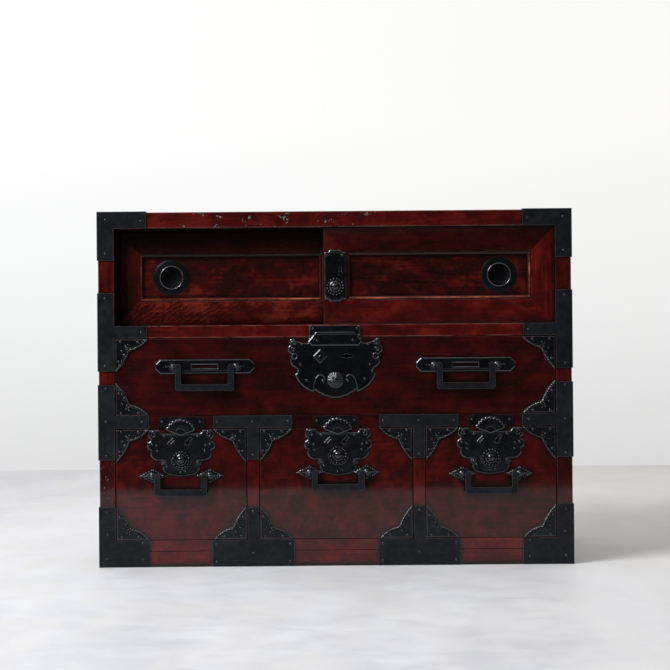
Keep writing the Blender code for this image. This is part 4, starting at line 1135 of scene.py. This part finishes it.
def post(x, z):
    """A handle's post with its collar and ball head."""
    bm = bmesh.new()
    head = arc(POST_HEAD_R, POST_HEAD_R, POST_HEAD_REACH, (-45, -20, 5, 30, 55, 75))
    profile = [*POST_PROFILE, *head, (0, POST_HEAD_REACH + POST_HEAD_R)]
    lathe(bm, profile, Vector((x, FRONT, z)), 24)
    return mesh_of(bm, "post")


def mount(name, body, node, plate, offsets):
    """Shows a handle's plate with posts at offsets along x."""
    x, _, z = middle(node)
    posts = [post(x + offset * MM, z) for offset in offsets]
    mesh = joined("handle_plate", [placed(plate, x, FRONT - GAP, z), *posts])
    piece(f"{name}_handle_mount", mesh, CAST, body, [node])


def wide_handle_plates():
    half_w, half_h, cut = 94, 13.5, 9
    end = [(half_w - cut, -half_h), (half_w, cut - half_h), (half_w, half_h - cut), (half_w - cut, half_h)]
    octagon = end + [(-x, z) for x, z in reversed(end)]
    slot = [(-24, -3.5), (24, -3.5), (24, 3.5), (-24, 3.5)]
    bars = [([(-44, -7), (44, -7)], 1.2, 0.3)]
    bars += [([(side * 74, 0), (side * 46, 0)], 1.2, 1.9) for side in (-1, 1)]
    pads = [(side * HANDLE_POST, 0, 9.5, 0.9) for side in (-1, 1)]

    def height(x, z, d):
        body = forged(x, z, d) + raised(x, z, bars, pads)
        return body + 0.7 * bump(distance(x, z, slot, True) - 1.4, 1.3)

    plate = relief("wide_handle", octagon, height, [slot], 0.8)
    for hand in HANDS:
        mount(f"wide_{hand}", "wide_drawer", f"wide_{hand}_handle_plate", plate, (-HANDLE_POST, HANDLE_POST))
    discard(plate)


def lozenge_plate():
    """A pointed plate with beaded sides."""
    half_w, half_h, lobes = 26, 13.4, 5
    corners = [(half_w, 0), (0, half_h), (-half_w, 0), (0, -half_h)]
    sides = list(zip(corners, corners[1:] + corners[:1]))
    spine = [(-21.5, 0), (21.5, 0)]

    def at(side, share, scale):
        return tuple((a + (b - a) * share) * scale for a, b in zip(*side))

    def notched(share):
        notch = 1 - abs(sin(pi * lobes * share))
        return 1 - 0.075 * notch * min(1, 8 * share, 8 * (1 - share))

    def height(x, z, d):
        body = rolled_edge(d, TONGUE_T, 0) + 1.2 * bump(np.abs(x) / half_w + np.abs(z) / half_h, 0.62)
        return body + raised(x, z, [(spine, 1.3, 1.5)], beads)

    shares = [i / (lobes * 6) for i in range(lobes * 6)]
    outline = [at(side, share, notched(share)) for side in sides for share in shares]
    beads = [(*at(side, (i + 0.5) / lobes, 0.84), 1.7, 2) for side in sides for i in range(lobes)]
    return relief("lozenge", outline, height, cell=0.7)


def small_handle_plates():
    plate = lozenge_plate()
    for name in SMALL_DRAWERS:
        for hand in HANDS:
            mount(f"{name}_{hand}", name, f"{name}_{hand}_post_plate", plate, (0,))
    discard(plate)


# Doors


def door_frame(hand):
    """Four mitred bars round a panel, with a bead inside and tongues for the grooves."""
    node = f"{hand}_door_frame"
    low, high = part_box(node)
    face, rear = low.y, high.y
    low_z, high_z = UPPER_RAIL[1] + DOOR_RUN, Z_TOP - DOOR_RUN
    section = [(inset * MM, face + depth * MM) for inset, depth in DOOR_SECTION]
    inner = section[-1][0]
    section += [(inner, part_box(f"{hand}_door_panel")[0].y - PANEL_GAP), (inner, rear - DOOR_SOFT)]
    section += [(inner - DOOR_SOFT, rear), (DOOR_SOFT, rear), (0, rear - DOOR_SOFT)]
    bm = bmesh.new()
    rings = []
    for inset, y in section:
        drop = inset + DOOR_RAIL_EXTRA * min(1, inset / DOOR_BAR)
        x0, x1 = low.x + inset, high.x - inset
        z0, z1 = low_z + drop, high_z - drop
        rings.append([bm.verts.new((x, y, z)) for x, z in ((x0, z0), (x1, z0), (x1, z1), (x0, z1))])
    # Painted light and shade: lit copies on the bottom and right bars, shaded copies on the top and left
    # bars
    foot, head, highlit_bars = (EMBER, SHADE, (0, 3)) if hand == "left" else (LIT_SILL, SHADED_LINTEL, (0, 1))
    finishes = (foot, LIT_RIGHT_BAR, head, MOULD_WEAR_AND_HIGHLIGHT, SHADED_LEFT_BAR)
    for k, (ring, after) in enumerate(zip(rings, rings[1:] + rings[:1])):
        bead = MOULD_FROM * MM <= section[k][0] <= MOULD_TO * MM
        for i in range(4):
            j = (i + 1) % 4
            strip = bm.faces.new((ring[i], ring[j], after[j], after[i]))
            # Painted highlight, partly worn lacquer: the bright bead finish only on the bottom bar and one
            # side bar
            strip.material_index = 3 if bead and i in highlit_bars else (0, 1, 2, 4)[i]
    near, far = (face + reach for reach in GROOVE_TONGUE)
    for z0, z1 in ((high_z - GROOVE_LAP, high.z), (low.z, low_z + GROOVE_LAP)):
        rounded_box(bm, (low.x + GROOVE_LAP, near, z0), (high.x - GROOVE_LAP, far, z1), 0.0006, 1)
    piece(f"{hand}_door_bars", mesh_of(bm, node), finishes, f"{hand}_door", [node])


def door_pull(hand):
    """A round dished finger pull with a rolled lip."""
    node = f"{hand}_door_pull"
    x, _, z = middle(node)
    place = Vector((x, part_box(f"{hand}_door_panel")[0].y, z))
    profile = [(radius * MM, reach * MM) for radius, reach in PULL_PROFILE]
    bm = bmesh.new()
    lathe(bm, profile, place, 72)
    for face in bm.faces:
        centre = face.calc_center_median() - place
        if centre.y < 0.012:
            face.material_index = (centre.xz.length < LIP_R) + (centre.xz.length < DISH_R)
    piece(f"{hand}_door_cup", mesh_of(bm, node), (CUP, LIP, DISH), f"{hand}_door", [node])


carcass_nails()
keepers()
corner_plates()
wide_lock()
small_locks()
door_lock()
wide_handle_plates()
small_handle_plates()
for hand in HANDS:
    door_frame(hand)
    door_pull(hand)


# Stage, light and camera


def floor():
    bm = bmesh.new()
    corners = ((-1, FLOOR_NEAR), (1, FLOOR_NEAR), (1, FLOOR_FAR), (-1, FLOOR_FAR))
    bm.faces.new([bm.verts.new((side * FLOOR_HALF, y, 0)) for side, y in corners])
    mesh = mesh_of(bm, "stage_floor")
    mesh.materials.append(floor_finish())
    linked("stage_floor", mesh)


def surroundings():
    """A white wall for the camera and for gloss, and a dim room behind the camera."""
    world = bpy.data.worlds.new("studio")
    world.use_nodes = True
    bpy.context.scene.world = world
    n = Nodes(world.node_tree)
    n.tree.nodes.clear()
    axes = n.axes(n.add("TexCoord").outputs["Generated"])
    path = n.add("LightPath").outputs

    def graded(axis, stops):
        return n.ramp(n.span(axes[axis], -1, 1), *(((at + 1) / 2, colour) for at, colour in stops))

    def light(colour):
        return n.add("Background", {"Color": colour, "Strength": 1}).outputs[0]

    def choose(factor, first, second):
        return n.add("MixShader", (factor, first, second)).outputs[0]

    wall = light(n.mix(1, graded("Z", WALL_STOPS), graded("X", WALL_SIDES), "MULTIPLY"))
    room = light(n.mix(1, graded("Y", ROOM_STOPS), graded("Z", SKY_STOPS), "ADD"))
    shown = choose(n.times(n.span(axes["Y"], *GLOSSY_WALL), path["Is Glossy Ray"]), room, wall)
    for ray in ("Is Transmission Ray", "Is Camera Ray"):
        shown = choose(path[ray], shown, wall)
    n.add("OutputWorld", {"Surface": shown})


def window():
    data = bpy.data.lights.new("window", "AREA")
    data.shape = "RECTANGLE"
    data.size, data.size_y = KEY_SIZE
    data.energy = KEY_POWER
    data.color = KEY_COLOUR
    obj = linked("window", data)
    obj.location = KEY_PLACE
    obj.rotation_euler = (Vector(KEY_AIM) - Vector(KEY_PLACE)).to_track_quat("-Z", "Y").to_euler()
    obj.visible_camera = False


def camera():
    data = bpy.data.cameras.new("camera")
    data.lens = LENS
    data.sensor_width = SENSOR
    obj = linked("camera", data)
    turn = Matrix.Rotation(radians(90), 4, "X") @ Matrix.Rotation(ROLL, 4, "Z")
    obj.matrix_world = Matrix.Translation((0, FRONT - EYE_DISTANCE, EYE_HEIGHT)) @ turn
    bpy.context.scene.camera = obj


floor()
surroundings()
window()
camera()
bpy.context.scene.view_settings.view_transform = "Standard"
